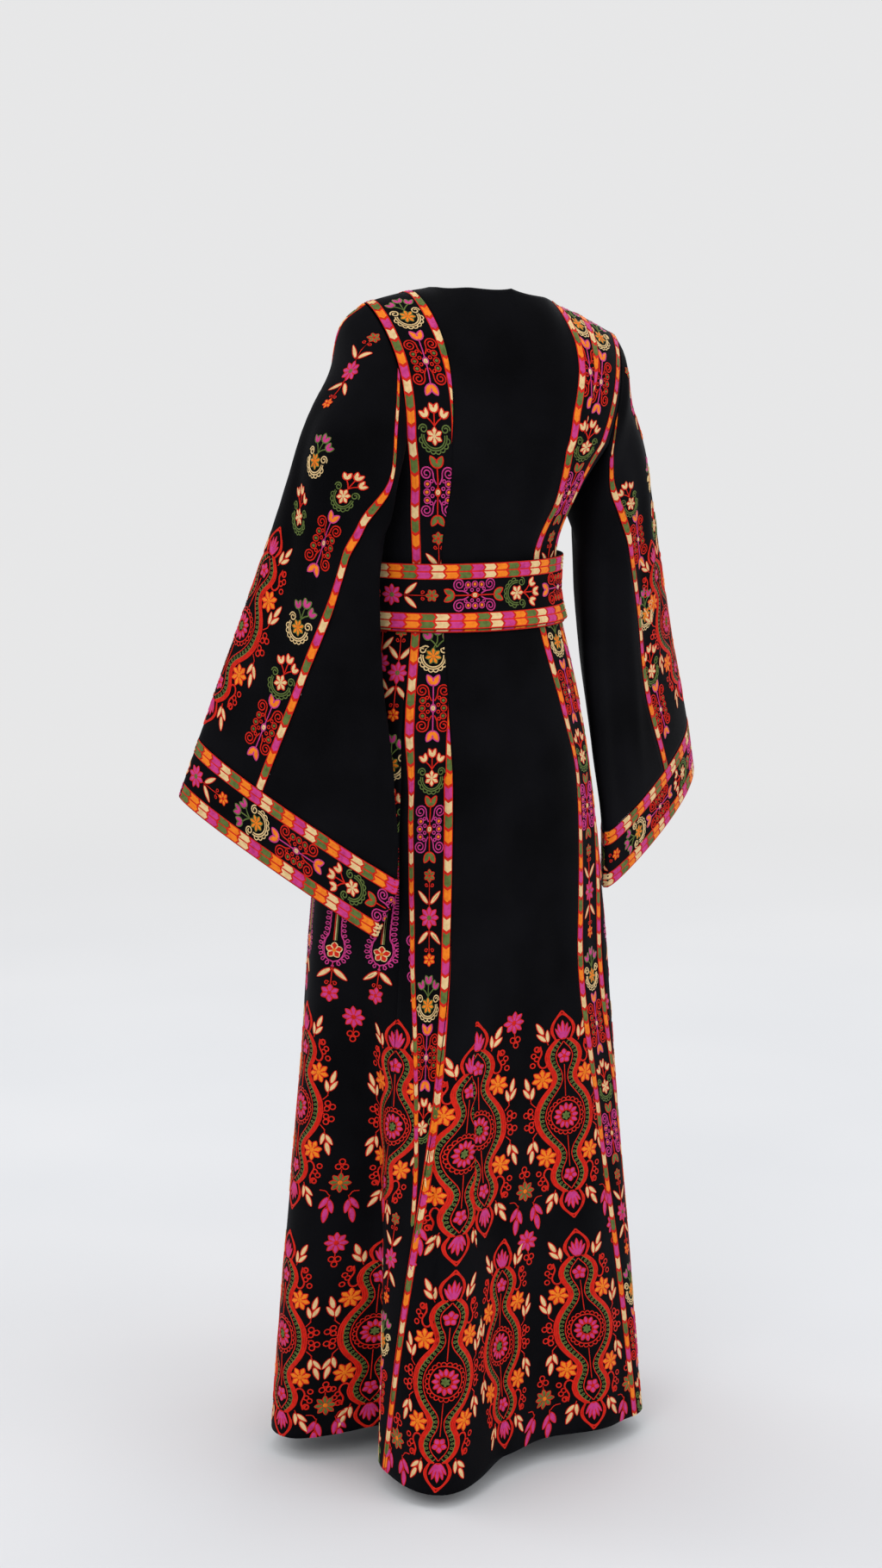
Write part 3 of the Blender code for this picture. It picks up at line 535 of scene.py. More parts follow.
# Soft folds of the sleeves: share of the way round from the upper fold by the back, at the
# start and at the end; f at the start and the end; half width in metres; depth.
SLEEVE_CREASES = {
    "left": (
        (0.10, 0.16, 0.06, 0.62, 0.014, 0.0030), (0.20, 0.26, 0.10, 0.70, 0.016, -0.0030),
        (0.30, 0.24, 0.16, 0.52, 0.013, 0.0034), (0.33, 0.33, 0.30, 0.93, 0.016, 0.0036),
        (0.42, 0.40, 0.22, 0.90, 0.015, -0.0034), (0.47, 0.46, 0.40, 0.96, 0.012, 0.0030),
        (0.60, 0.64, 0.20, 0.90, 0.016, 0.0034), (0.72, 0.72, 0.15, 0.80, 0.016, -0.0030),
        (0.86, 0.84, 0.10, 0.70, 0.015, 0.0030)),
    "right": (
        (0.12, 0.17, 0.06, 0.60, 0.014, 0.0028), (0.24, 0.28, 0.08, 0.75, 0.016, 0.0034),
        (0.34, 0.36, 0.10, 0.90, 0.015, -0.0034), (0.42, 0.45, 0.12, 0.95, 0.014, 0.0036),
        (0.58, 0.60, 0.20, 0.90, 0.016, -0.0030), (0.70, 0.72, 0.12, 0.85, 0.016, 0.0034),
        (0.85, 0.85, 0.10, 0.70, 0.015, 0.0026)),
}


class Sleeve:
    """A sleeve as rings of points; they run from the upper fold by the back to the lower."""

    def __init__(self, side):
        self.side = side
        self.table = LEFT_SLEEVE if side == "left" else RIGHT_SLEEVE
        self.phi = np.linspace(0.0, 2.0 * math.pi, SLEEVE_POINTS + 1)
        back, front = armhole(side)
        share = np.where(self.phi <= math.pi, self.phi, 2.0 * math.pi - self.phi) / math.pi
        self.root = np.where((self.phi <= math.pi)[:, None], by_length(back, share),
                             by_length(front, share))
        self.root[:, 0] += HEAD_OUT if side == "left" else -HEAD_OUT
        self.rings = {}
        above = 0.1
        length = np.linalg.norm(self.fold(1, 1.0) - self.fold(1, 1.0 - above)) / above
        self.cuff_start = 1.0 - CUFF_DEPTH / length

    def fold(self, place, f):
        return np.array([float(looked_up(self.table, place + i, f)) for i in range(3)])

    def section(self, f):
        top, low = self.fold(1, f), self.fold(4, f)
        middle, half = 0.5 * (top + low), 0.5 * (top - low)
        level = np.array([-half[1], half[0], 0.0])
        if level[1] < 0.0:
            level = -level
        turned = ease(f / SLEEVE_TURN)
        way = (np.array([0.0, 1.0, 0.0]) * (1.0 - turned)
               + level / max(np.linalg.norm(level), 1e-9) * turned)
        way /= np.linalg.norm(way)
        swell = np.where(self.phi <= math.pi, float(looked_up(self.table, 7, f)),
                         float(looked_up(self.table, 8, f)))
        out = swell * np.sin(self.phi) * (1.0 + SLEEVE_DROP * np.cos(self.phi))
        return middle + np.cos(self.phi)[:, None] * half + out[:, None] * way

    def ring(self, f):
        key = round(float(f), 6)
        if key not in self.rings:
            share = (0.5 * (1.0 + np.cos(self.phi)))[:, None]
            carried = (self.root + share * (self.fold(1, f) - self.fold(1, 0.0))
                       + (1.0 - share) * (self.fold(4, f) - self.fold(4, 0.0)))
            free = ease(f / HEAD_BLEND)
            hung = carried * (1.0 - free) + self.section(f) * free
            points = rested(hung, ease(f / (0.5 * HEAD_BLEND)))
            self.rings[key] = (points, lengths(points))
        return self.rings[key]

    def at(self, f, along):
        points, run = self.ring(f)
        wrapped = np.mod(along, run[-1])
        return np.stack([np.interp(wrapped, run, points[:, i]) for i in range(3)], -1)

    def creased(self, grid, f, along):
        """The grid moved along its normals by the sleeve's soft folds."""
        total = np.array([self.ring(value)[1][-1] for value in f])[:, None]
        share = np.mod(along / total, 1.0)
        f = np.asarray(f)[:, None]
        shift = np.zeros(share.shape)
        for start, end, first, last, width, depth in SLEEVE_CREASES[self.side]:
            part = np.clip((f - first) / (last - first), 0, 1)
            centre = start + (end - start) * part
            strength = ease(part * SLEEVE_FADE) * ease((1.0 - part) * SLEEVE_FADE)
            shift -= depth * strength * np.exp(-(((share - centre) * total) / width) ** 2)
        sign = 1.0 if self.side == "left" else -1.0
        return grid + outward(grid) * (sign * shift)[..., None]

    def panel_edges(self, f):
        table = LEFT_PANEL if self.side == "left" else RIGHT_PANEL
        return float(looked_up(table, 1, f)), float(looked_up(table, 2, f))

    def cloth(self, kind):
        """One cut piece. u is measured round the sleeve from the upper fold by the back."""
        half, closed = 0.5 * SLEEVE_SEAM, kind == "cuff"
        if closed:
            f_rows = np.linspace(1.0, self.cuff_start + CUFF_GAP, CUFF_ROWS)
            columns = CUFF_COLUMNS
        else:
            f_rows = np.linspace(self.cuff_start - CUFF_GAP, HEAD_GAP, SLEEVE_ROWS)
            columns = TOP_COLUMNS if kind == "sleeve_top" else UNDER_COLUMNS
        edges = []
        for f in f_rows:
            behind, before = self.panel_edges(f)
            total = self.ring(f)[1][-1]
            edges.append({"sleeve_top": (half - before, behind - half), "cuff": (0.0, total),
                          "sleeve_under": (behind + half, total - before - half)}[kind])
        edges = np.array(edges)
        share = np.linspace(0.0, 1.0, columns + 1)
        along = edges[:, :1] + (edges[:, 1:] - edges[:, :1]) * share
        grid = np.array([self.at(f, row) for f, row in zip(f_rows, along)])
        grid = self.creased(grid, f_rows, along)
        if closed:
            grid[:, -1] = grid[:, 0]
        steps = np.linalg.norm(np.diff(grid, axis=0), axis=-1)
        v = np.concatenate([np.zeros((1, columns + 1)), np.cumsum(steps, axis=0)])
        return Cloth(kind + "_" + self.side, grid, v, edges, self.side == "right", closed)


def belt_cloth():
    """The belt as one strip: u runs along it from its under end, v up across it."""
    turns = np.linspace(0.0, BELT_TURNS, BELT_COLUMNS + 1)
    theta = math.radians(BELT_START) + 2.0 * math.pi * turns
    slip = BELT_SLIP * (1.0 - ease(turns / (BELT_TURNS - BELT_SETTLE)))
    rows = []
    heights = np.linspace(-BELT_HEIGHT, 0.0, BELT_ROWS + 1)
    for height in heights:
        z = np.full(theta.shape, BELT_TOP + height)
        turn, rise = 0.004, 0.002
        around = ring_at(theta + turn, z) - ring_at(theta - turn, z)
        up = ring_at(theta, z + rise) - ring_at(theta, z - rise)
        normal = unit(unit(np.cross(around, up)) * (1.0, 1.0, BELT_LEAN))
        stand = BELT_CLEAR + BELT_WALL + BELT_PITCH * turns
        ripple = np.sin(theta * BELT_RIPPLES + RIPPLE_SLANT * height)
        stand = stand + BELT_RIPPLE * ripple * (height / BELT_HEIGHT)
        points = ring_at(theta, z) + stand[:, None] * normal
        points[:, 2] -= slip
        rows.append(points)
    grid = pose(np.array(rows))
    run = lengths(grid[len(heights) // 2])
    edges = np.tile((0.0, run[-1]), (len(heights), 1))
    return Cloth("belt", grid, heights, edges)


# ---------------------------------------------------------------- stitches
MM = 0.001
CORD, FINE, THIN = 2.1 * MM, 1.5 * MM, 1.15 * MM    # widths of the couched cords
CORD_RISE, FILL_RISE, BASE_RISE = 0.85 * MM, 0.75 * MM, 0.18 * MM


def curve(cx, cy, rx, ry, start, end, steps):
    """Points of an elliptical arc, degrees from the right."""
    angle = np.radians(np.linspace(start, end, steps + 1))
    return np.stack([cx + rx * np.cos(angle), cy + ry * np.sin(angle)], axis=-1)


def oval(cx, cy, rx, ry, steps):
    """Points of a whole ellipse, for a closed stroke."""
    return curve(cx, cy, rx, ry, 0, 360, steps)[:-1]


def spiral(cx, cy, outer, inner, start, turns, steps):
    angle = math.radians(start) + 2.0 * math.pi * turns * np.linspace(0, 1, steps + 1)
    radius = np.linspace(outer, inner, steps + 1)
    return np.stack([cx + radius * np.cos(angle), cy + radius * np.sin(angle)], axis=-1)


def through(points, steps):
    """A smooth open curve through a few points."""
    points = np.asarray(points, float)
    ends = np.concatenate([[2 * points[0] - points[1]], points, [2 * points[-1] - points[-2]]])
    t = np.linspace(0.0, len(points) - 1.0, steps + 1)
    k = np.minimum(t.astype(int), len(points) - 2)
    f = (t - k)[:, None]
    a, b, c, d = (ends[k + i] for i in range(4))
    return 0.5 * (2 * b + (c - a) * f + (2 * a - 5 * b + 4 * c - d) * f ** 2
                  + (3 * b - a - 3 * c + d) * f ** 3)


def joined(pieces):
    """Pieces of point arrays and quads as one piece, its quads numbered on."""
    starts = np.cumsum([0] + [len(piece[0]) for piece in pieces])
    *arrays, quads = zip(*pieces)
    numbered = [faces + start for faces, start in zip(quads, starts)]
    return (*(np.concatenate(array) for array in arrays), np.concatenate(numbered))


class Motif:
    """Strokes in millimetres about a centre, by thread colour, ready to be laid on cloth."""

    def __init__(self):
        self.parts = {}

    def put(self, colour, xy, lift, stitch, quads):
        self.parts.setdefault(colour, []).append((xy, lift, stitch, quads))

    def stroke(self, colour, points, width=CORD, rise=CORD_RISE, closed=False, domed=True,
               spans=1):
        """A cord or a satin fill along points (mm); width and rise in metres."""
        points = np.asarray(points, float) * MM
        count = len(points)
        if closed:
            tangent = np.roll(points, -1, 0) - np.roll(points, 1, 0)
        else:
            tangent = np.gradient(points, axis=0)
        tangent = unit(tangent, 1e-9)
        side = np.stack([-tangent[:, 1], tangent[:, 0]], axis=-1)
        places = np.linspace(-0.5, 0.5, 3 if domed else spans + 1)
        width = np.broadcast_to(np.asarray(width, float), (count,))
        offset = width[:, None] * places
        xy = points[:, None] + side[:, None] * offset[..., None]
        height = rise * (1.0 - np.abs(2.0 * places)) if domed else 0.5 * rise
        lift = np.broadcast_to(BASE_RISE + height, offset.shape)
        run = np.broadcast_to(lengths(points)[:, None], offset.shape)
        stitch = np.stack([run, offset], axis=-1)
        steps = count if closed else count - 1
        lanes = np.arange(len(places) - 1)
        near = np.arange(steps)[:, None] * len(places) + lanes
        far = (np.arange(1, steps + 1) % count)[:, None] * len(places) + lanes
        quads = np.stack([near + 1, near, far, far + 1], axis=-1).reshape(-1, 4)
        self.put(colour, xy.reshape(-1, 2), lift.reshape(-1), stitch.reshape(-1, 2), quads)

    def pair(self, colour, points, *sizes, **how):
        """A stroke and its mirror image across the upright axis."""
        for flip in (1, -1):
            self.stroke(colour, points * np.array([flip, 1]), *sizes, **how)

    def add(self, other, x=0.0, y=0.0, turn=0.0, size=1.0, flip=False):
        c, s = math.cos(math.radians(turn)), math.sin(math.radians(turn))
        for colour, pieces in other.parts.items():
            for xy, lift, stitch, quads in pieces:
                px = xy[:, 0] * (-size if flip else size)
                py = xy[:, 1] * size
                moved = np.stack([c * px - s * py + x * MM, s * px + c * py + y * MM], axis=-1)
                self.put(colour, moved, lift, stitch, quads[:, ::-1] if flip else quads)

    def twice(self, other, x=0.0, turn=0.0, **how):
        """A piece at a place and mirrored across the upright axis."""
        self.add(other, x=x, turn=turn, **how)
        self.add(other, x=-x, turn=-turn, flip=True, **how)

    def both_ends(self, other):
        """A piece and its mirror image across the level axis."""
        mirrored = Motif()
        mirrored.add(other, flip=True)
        self.add(other)
        self.add(mirrored, turn=180)

    def packed(self):
        """One set of arrays per colour."""
        return {colour: joined(pieces) for colour, pieces in self.parts.items()}


def petal(fill, line, length, width, steps=5, outline=10, base=0.0, line_width=THIN, vein=None):
    """A satin petal pointing up from its base, inside a fine outline."""
    motif = Motif()
    t = np.linspace(0.08, 0.96, steps)
    shape = np.sin(np.pi * t ** 0.85) ** 0.65
    axis = np.stack([np.zeros(steps), base + length * t], axis=-1)
    motif.stroke(fill, axis, width * MM * shape * 0.86, FILL_RISE)
    if line:
        a = np.linspace(0.0, 2.0 * np.pi, outline, endpoint=False)
        ring_t = 0.5 - 0.5 * np.cos(a)
        side = np.sign(np.sin(a)) * np.sin(np.pi * ring_t ** 0.85) ** 0.7 * 0.5 * width
        loop = np.stack([side, base + length * ring_t], axis=-1)
        motif.stroke(line, loop, line_width, 0.6 * MM, closed=True, domed=False)
    if vein:
        motif.stroke(vein, [(0, base + 0.2 * length), (0, base + 0.8 * length)], 0.6 * MM,
                     1.0 * MM, domed=False)
    return motif


def leaf(length, width, vein="green", fill="cream"):
    return petal(fill, "scarlet", length, width, steps=6, outline=14, vein=vein)


def flower(petals, radius, fill, line, centre, heart=0.26, width=None):
    motif = Motif()
    width = width or 2.0 * math.pi * radius * 0.62 / petals
    piece = petal(fill, line, radius * (1.0 - heart * 0.6), width, base=radius * heart * 0.6)
    for k in range(petals):
        motif.add(piece, turn=360.0 * k / petals)
    if centre:
        disc = oval(0, 0, radius * heart * 0.5, radius * heart * 0.5, 8)
        motif.stroke(centre, disc, radius * heart * MM, 1.15 * MM, closed=True)
    return motif


def circle(colour, radius, width=FINE, steps=9):
    motif = Motif()
    motif.stroke(colour, oval(0, 0, radius, radius, steps), width, 0.7 * MM, closed=True,
                 domed=False)
    return motif


def heart_bud(fill, line, length, width, spread):
    """Two petals side by side, as a tulip bud."""
    motif = Motif()
    motif.twice(petal(fill, line, length, width, line_width=FINE, outline=12), turn=-spread)
    return motif


def vase(cord, stem, bud_fill, petals, petal_line, petal_fill):
    """A crescent with spiral ends and scallops, holding a flower and three budding stems."""
    motif = Motif()
    for radius in (14.6, 12.2):
        motif.stroke(cord, curve(0, -11, radius, radius, 172, 368, 26), FINE)
    motif.pair(cord, spiral(-12.8, -3.4, 5.4, 1.3, 190, -1.45, 18), FINE)
    for angle in np.linspace(196, 344, 8):
        a = math.radians(angle)
        x, y = 15.4 * math.cos(a), -11 + 15.4 * math.sin(a)
        motif.stroke(cord, curve(x, y, 2.9, 2.9, angle - 104, angle + 104, 7), THIN,
                     domed=False)
    motif.add(flower(petals, 9.4, petal_fill, petal_line, petal_fill), 0, -10.5)
    motif.stroke(stem, [(0, -1.5), (0, 6), (0, 15)], FINE)
    motif.pair(stem, through([(0, 0), (-4, 5), (-9, 9)], 5), FINE)
    bud = heart_bud(bud_fill, stem, 11.0, 6.6, 25)
    motif.add(bud, 0, 14)
    motif.twice(bud, x=-9, y=8.5, turn=26, size=0.95)
    return motif


def butterfly(body, body_fill, wing, ring_fill):
    """Two hearts on a stem, four spirals and three filled rings on each side."""
    motif = Motif()
    motif.stroke(body, [(0, -28), (0, -14), (0, 0), (0, 14), (0, 28)], FINE)
    bud = heart_bud(body_fill, body, 14.0, 7.6, 30)
    motif.add(bud, 0, 26.5)
    motif.add(bud, 0, -26.5, turn=180)
    motif.stroke("cream", oval(0, 0, 1.3, 2.0, 8), 2.8 * MM, 1.3 * MM, closed=True)
    motif.stroke(body, oval(0, 0, 3.2, 4.4, 12), THIN, closed=True, domed=False)

    def fill_ring(piece, *spot):
        piece.stroke(ring_fill, spot, np.array([1.6, 4.0, 1.6]) * MM, FILL_RISE)

    quarter = Motif()
    coil = spiral(12.9, 20.4, 7.6, 1.5, 182, -1.85, 26)
    tail = through([(1.6, 8.5), (3.4, 11.5), (5.0, 15.5), (5.3, 20.4)], 6)[:-1]
    quarter.stroke(wing, np.concatenate([tail, coil]), FINE)
    quarter.stroke(wing, oval(12.2, 9.0, 3.5, 3.5, 10), FINE, closed=True)
    quarter.add(circle(wing, 1.9, THIN, 7), 6.2, 4.0)
    quarter.add(circle(wing, 1.8, THIN, 7), 7.2, 12.2)
    fill_ring(quarter, (10.3, 9.0), (12.2, 9.0), (14.1, 9.0))
    half = Motif()
    half.both_ends(quarter)
    half.stroke(wing, oval(12.9, 0, 3.5, 3.5, 10), FINE, closed=True)
    fill_ring(half, (10.9, 0), (12.9, 0), (14.9, 0))
    motif.twice(half)
    return motif


def curls(motif, curl):
    motif.pair("scarlet", curl, THIN, domed=False)


def flower_chain():
    """A small flower, leaves, a large flower, leaves and another small flower on one stem."""
    motif, leaves, chain = Motif(), Motif(), Motif()
    motif.stroke("scarlet", [(0, 52), (0, 30), (0, 0), (0, -30), (0, -52)], THIN)
    motif.add(flower(6, 8.6, "green", "scarlet", "scarlet"), 0, 55)
    motif.add(flower(6, 8.6, "orange", "scarlet", "scarlet"), 0, -55)
    motif.add(flower(8, 14.5, "pink", "scarlet", "green"))
    for sign in (1, -1):
        curls(motif, spiral(4.4, 0, 2.8, 0.9, 200, 1.1, 9) * (1, sign) + (0, 43 * sign))
    leaves.twice(leaf(23, 6.6), x=-1.5, y=18, turn=43)
    motif.add(leaves)
    motif.add(leaves, turn=180)
    chain.add(motif, size=0.88)
    return chain


# Offset of the outer cord, the middle of the chain and the inner line from the axis (mm),
# upwards from the middle of a medallion.
GOURD = (
    (0.0, 38.5, 30.5, 26.0), (9.0, 37.5, 29.5, 24.5), (20.0, 33.0, 24.5, 19.5),
    (30.0, 26.0, 17.0, 12.0), (38.0, 19.0, 10.5, 6.0), (47.0, 15.4, 7.2, 3.2),
    (55.0, 17.0, 8.6, 4.6), (64.0, 21.8, 13.4, 8.8), (73.0, 24.0, 15.8, 11.0),
    (81.0, 22.0, 13.6, 8.6), (87.0, 17.5, 8.8, 3.4), (91.0, 13.0, 3.6, 0.2),
    (94.0, 9.5, 0.2, 0.2),
)


def gourd_side(place, inset, top, steps):
    y = np.linspace(-top, top, steps + 1)
    x = looked_up(GOURD, place, np.abs(y)) - inset
    return np.stack([np.maximum(x, 0.0), y], axis=-1)


def chain_along(points, pitch, radius, steps):
    """A looping line that runs along points."""
    run = lengths(points)
    loops = int(round(run[-1] / pitch))
    t = np.linspace(0.0, loops, loops * steps + 1)
    turn = 2.0 * np.pi * t
    along = (t / loops) * run[-1] - 1.25 * radius * np.sin(turn) * 0.8

    def at(place):
        return np.stack([np.interp(place, run, points[:, i]) for i in range(2)], -1)

    way = unit(at(along + 1.0) - at(along - 1.0), 1e-9)
    swing = radius * np.cos(turn)
    return at(along) + np.stack([-way[:, 1] * swing, way[:, 0] * swing], axis=-1)


def leaf_spray(fill, size=1.0):
    """Three leaves on a short stalk, pointing up from their base."""
    motif = Motif()
    blade = leaf(17.0 * size, 6.2 * size, None, fill)
    motif.add(blade, 0, 9 * size, turn=4)
    motif.add(blade, -0.5 * size, 0, turn=24, size=0.9)
    motif.add(blade, 0.5 * size, -2 * size, turn=-24, size=0.9)
    motif.stroke("scarlet", [(0, -5 * size), (0, 2 * size), (0, 10 * size)], THIN)
    return motif


def medallion():
    """The tall gourd-shaped medallion of the skirt and the sleeves."""
    motif, end = Motif(), Motif()
    for inset in (0.0, 2.3, 4.6):
        motif.pair("scarlet", gourd_side(1, inset, 94.0, 64))
    curls(motif, gourd_side(3, 0.0, 91.0, 52))
    scrolls = chain_along(gourd_side(2, 0.0, 90.0, 90), 5.6, 2.5, 8)
    motif.pair("green", scrolls, 1.05 * MM, domed=False)
    for k in range(22):
        angle = 360.0 * k / 22
        a = math.radians(angle)
        loop = curve(20.8 * math.cos(a), 20.2 * math.sin(a), 2.9, 2.9, angle - 112,
                     angle + 112, 6)
        motif.stroke("scarlet", loop, THIN, domed=False)
    motif.stroke("scarlet", oval(0, 0, 19.2, 18.6, 40), FINE, closed=True)
    motif.add(flower(12, 15.6, "pink", "scarlet", None, heart=0.78, width=5.2))
    motif.stroke("scarlet", oval(0, 0, 6.9, 6.9, 18), THIN, closed=True)
    motif.add(flower(6, 5.8, "green", None, "green", heart=0.3))
    end.stroke("scarlet", [(0, 24), (0, 40), (0, 63)], THIN)
    end.add(flower(5, 8.6, "pink", "scarlet", "scarlet", heart=0.34), 0, 73)
    for inset in (0.0, 2.4):
        k = 1.0 - inset / 18.0
        end.pair("scarlet", through([(9.5, 93), (15.6 * k, 104), (13.5 * k, 113),
                                     (6.5 * k, 121), (0, 128 - 1.6 * inset)], 14))
    tulip = petal("pink", "scarlet", 23, 5.6)
    end.add(tulip, 0, 93.5)
    end.twice(tulip, x=1.0, y=93.5, turn=-15, size=0.88)
    end.twice(tulip, x=1.6, y=93.5, turn=-31, size=0.72)
    end.twice(flower(7, 12.6, "orange", "scarlet", "orange"), x=28.5, y=48)
    end.twice(leaf_spray("cream"), x=-22, y=94, turn=24)
    end.twice(leaf_spray("cream"), x=-43.5, y=27, turn=10)
    for radius, x, y in ((3.2, 50, 7.5), (3.2, 44, 11.5), (3.0, 43.6, 4.8)):
        end.twice(circle("scarlet", radius), x=x, y=y)
    bend = through([(-30, 88), (-28.5, 80), (-33, 70), (-30, 63), (-24, 63), (-21, 70)], 14)
    coil = spiral(-33.5, 86, 4.4, 1.2, 40, -1.4, 14)[::-1]
    end.pair("scarlet", np.concatenate([coil, bend]))
    curls(end, through([(37.5, 15.5), (41, 19), (43.5, 22)], 4))
    curls(end, through([(37.8, -1), (40, 1.5), (42.5, 2.2)], 4))
    for x, y in ((38.0, 78.0), (39.5, 66.5), (34.5, 74.0)):
        end.twice(circle("scarlet", 2.9), x=x, y=y)
    motif.both_ends(end)
    return motif


def between_medallions():
    """The small flowers and leaves that stand between two medallions."""
    motif, spray = Motif(), Motif()
    berry = circle("scarlet", 3.3)
    motif.add(flower(8, 13.2, "pink", "scarlet", "scarlet"), 0, 120)
    motif.stroke("scarlet", [(0, 108), (0, 102)], THIN)
    motif.twice(berry, x=3.6, y=99.5)
    motif.add(berry, 0, 93)
    motif.add(flower(8, 12.2, "green", "scarlet", "orange"), 0, -86)
    motif.add(berry, 0, -59.5)
    motif.twice(berry, x=3.9, y=-66)
    motif.stroke("scarlet", [(0, -69), (0, -74)], THIN)
    spray.add(leaf_spray("pink", 1.15), turn=180)
    motif.twice(spray, x=-11.5, y=-107, turn=-12)
    motif.pair("scarlet", through([(-11.5, -102), (-15, -97), (-22, -96)], 5), THIN)
    return motif


def small_flower():
    """A six-petalled flower between two leaves on a short stem, pointing down."""
    motif = Motif()
    motif.add(flower(6, 11.5, "pink", "scarlet", "scarlet"))
    motif.stroke("scarlet", [(0, -11), (0, -22), (0, -30)], THIN)
    motif.twice(leaf(20, 6.2), x=-1.0, y=-30, turn=48)
    return motif


def pendant():
    """A drop of looped cord on the side panels, with a flower, leaves and a small flower."""
    motif = Motif()
    side = through([(9.5, 95), (9.5, 40), (10, 14), (14.5, 5), (16.5, -8), (10.5, -20), (0, -25)],
                   60)
    motif.pair("pink", chain_along(side, 6.4, 3.3, 7), 1.25 * MM, domed=False)
    motif.pair("pink", side * (0.72, 0.9), THIN, domed=False)
    for x, colour in ((-1.6, "scarlet"), (0.0, "cream"), (1.6, "green")):
        motif.stroke(colour, [(x, 92), (x, 50), (x, 4)], 1.2 * MM)
    motif.add(flower(5, 9.6, "scarlet", "cream", "orange"), 0, -8)
    motif.stroke("scarlet", [(0, -24), (0, -40), (0, -58)], THIN)
    motif.twice(leaf(21, 6.4), x=-1.0, y=-30, turn=128)
    motif.add(flower(6, 10.5, "pink", "scarlet", "scarlet"), 0, -60)
    curls(motif, spiral(4.4, -48, 2.8, 0.9, 160, -1.1, 9))
    return motif


MOTIFS = {name: motif.packed() for name, motif in {
    "cream_vase": vase("cream", "green", "pink", 7, "green", "orange"),
    "green_vase": vase("green", "scarlet", "cream", 6, "scarlet", "cream"),
    "red_butterfly": butterfly("pink", "orange", "scarlet", "green"),
    "pink_butterfly": butterfly("scarlet", "green", "pink", "orange"),
    "chain": flower_chain(), "medallion": medallion(), "between": between_medallions(),
    "pendant": pendant(), "pink_flower": small_flower()}.items()}
# The strip of motifs: how far down from its top each stands, and where the next strip begins.
STRIP = (("cream_vase", 0.030), ("red_butterfly", 0.101), ("green_vase", 0.172),
         ("pink_butterfly", 0.242), ("chain", 0.344))
STRIP_PERIOD = 0.405

# ---------------------------------------------------------------- laying stitches on the cloth
# The region each piece's threads are joined in; the first piece of a region carries them.
REGIONS = {"back_panel": "back", "back_band_left": "back", "back_band_right": "back",
           "front_panel": "front", "front_band_left": "front", "front_band_right": "front",
           "side_panel_left": "side_left", "side_panel_right": "side_right",
           "sleeve_top_left": "sleeve_left", "sleeve_top_right": "sleeve_right",
           "cuff_left": "cuff_left", "cuff_right": "cuff_right", "belt": "belt"}
THREADS = {}
EDGE = 0.0004             # bare cloth left at the edge of a piece


def value(given, v):
    return given(v) if callable(given) else given


def lay(cloth, motif, u, v, turn=0.0, size=1.0, anchor=None, low=None, high=None, wide=1.0):
    """Lay a motif with its centre at (u, v). low and high cut it off along u, and wide spreads
    it; each is a number or a function of v, as is u itself. anchor says which edge of the piece
    u is counted from."""
    c, s = math.cos(math.radians(turn)), math.sin(math.radians(turn))
    strokes = MOTIFS[motif] if isinstance(motif, str) else motif
    for colour, (xy, lift, stitch, quads) in strokes.items():
        y = xy[:, 1] * size
        x = xy[:, 0] * size * value(wide, v + y)
        vv = v + s * x + c * y
        uu = value(u, vv) + c * x - s * y
        place, row, start, end = cloth.find(uu, vv, anchor)
        half = 0.5 * (end - start)
        least, most = (-half, half) if cloth.closed else (start + EDGE, end - EDGE)
        if low is not None:
            least = np.maximum(least, value(low, vv))
        if high is not None:
            most = np.maximum(least, np.minimum(most, value(high, vv)))
        outside = (place < least) | (place > most) | cloth.beyond(vv, place, start, end)
        kept = quads[~outside[quads].all(axis=1)]
        if not len(kept):
            continue
        if cloth.mirrored:
            kept = kept[:, ::-1]
        place = np.clip(place, least, most)
        used, index = np.unique(kept, return_inverse=True)
        points = cloth.at(place[used], row[used], start[used], end[used], lift[used])
        THREADS.setdefault((REGIONS[cloth.name], colour), []).append(
            (points, stitch[used], index.reshape(-1, 4)))


# Chevron stripes (mm): from block to block, the border's width and how deep a block's point is.
# For one lane and for two: the lanes' middles, their half width and the gap between blocks.
PITCH, BORDER, POINT = 16.8, 1.2, 3.0
LANES = {False: ((0.0,), 4.2, 3.8), True: ((-4.3, 4.3), 3.5, 2.8)}
DOWN = ("green", "orange", "pink", "cream")      # colours of a chevron stripe, going down


def blocks(colours, length, two):
    """Chevron stripe: a scarlet strip with arrow blocks of satin, in one lane or two.

    The stripe runs down from y = 0 and the arrows point down."""
    motif = Motif()
    lanes, half_width, gap = LANES[two]
    edge = max(abs(lane) for lane in lanes) + half_width + BORDER
    run = np.linspace(0.0, -length, max(int(length / 6.0), 2) + 1)
    base = np.stack([np.zeros(len(run)), run], axis=-1)
    motif.stroke("scarlet", base, 2.0 * edge * MM, 0.35 * MM, domed=False, spans=4)
    for side in (-1, 1):
        motif.stroke("scarlet", base + (side * (edge - 0.4), 0), 1.0 * MM, 0.55 * MM)
    for k in range(int(math.ceil(length / PITCH))):
        top = -k * PITCH - 0.5 * gap
        colour = colours[k % len(colours)]
        for lane in lanes:
            for side in (-1, 1):
                x = lane + side * 0.5 * half_width
                centre = np.stack([np.full(4, x), top - (PITCH - gap) * np.linspace(0, 1, 4)], -1)
                motif.stroke(colour, centre, half_width * MM, 0.55 * MM)
                xy, lift, stitch, quads = motif.parts[colour].pop()
                inside = 1.0 - np.abs(xy[:, 0] / MM - lane) / half_width
                xy[:, 1] -= POINT * (inside - 0.5) * MM
                motif.put(colour, xy, lift + 0.30 * MM, stitch[:, ::-1], quads)
    return motif.packed()


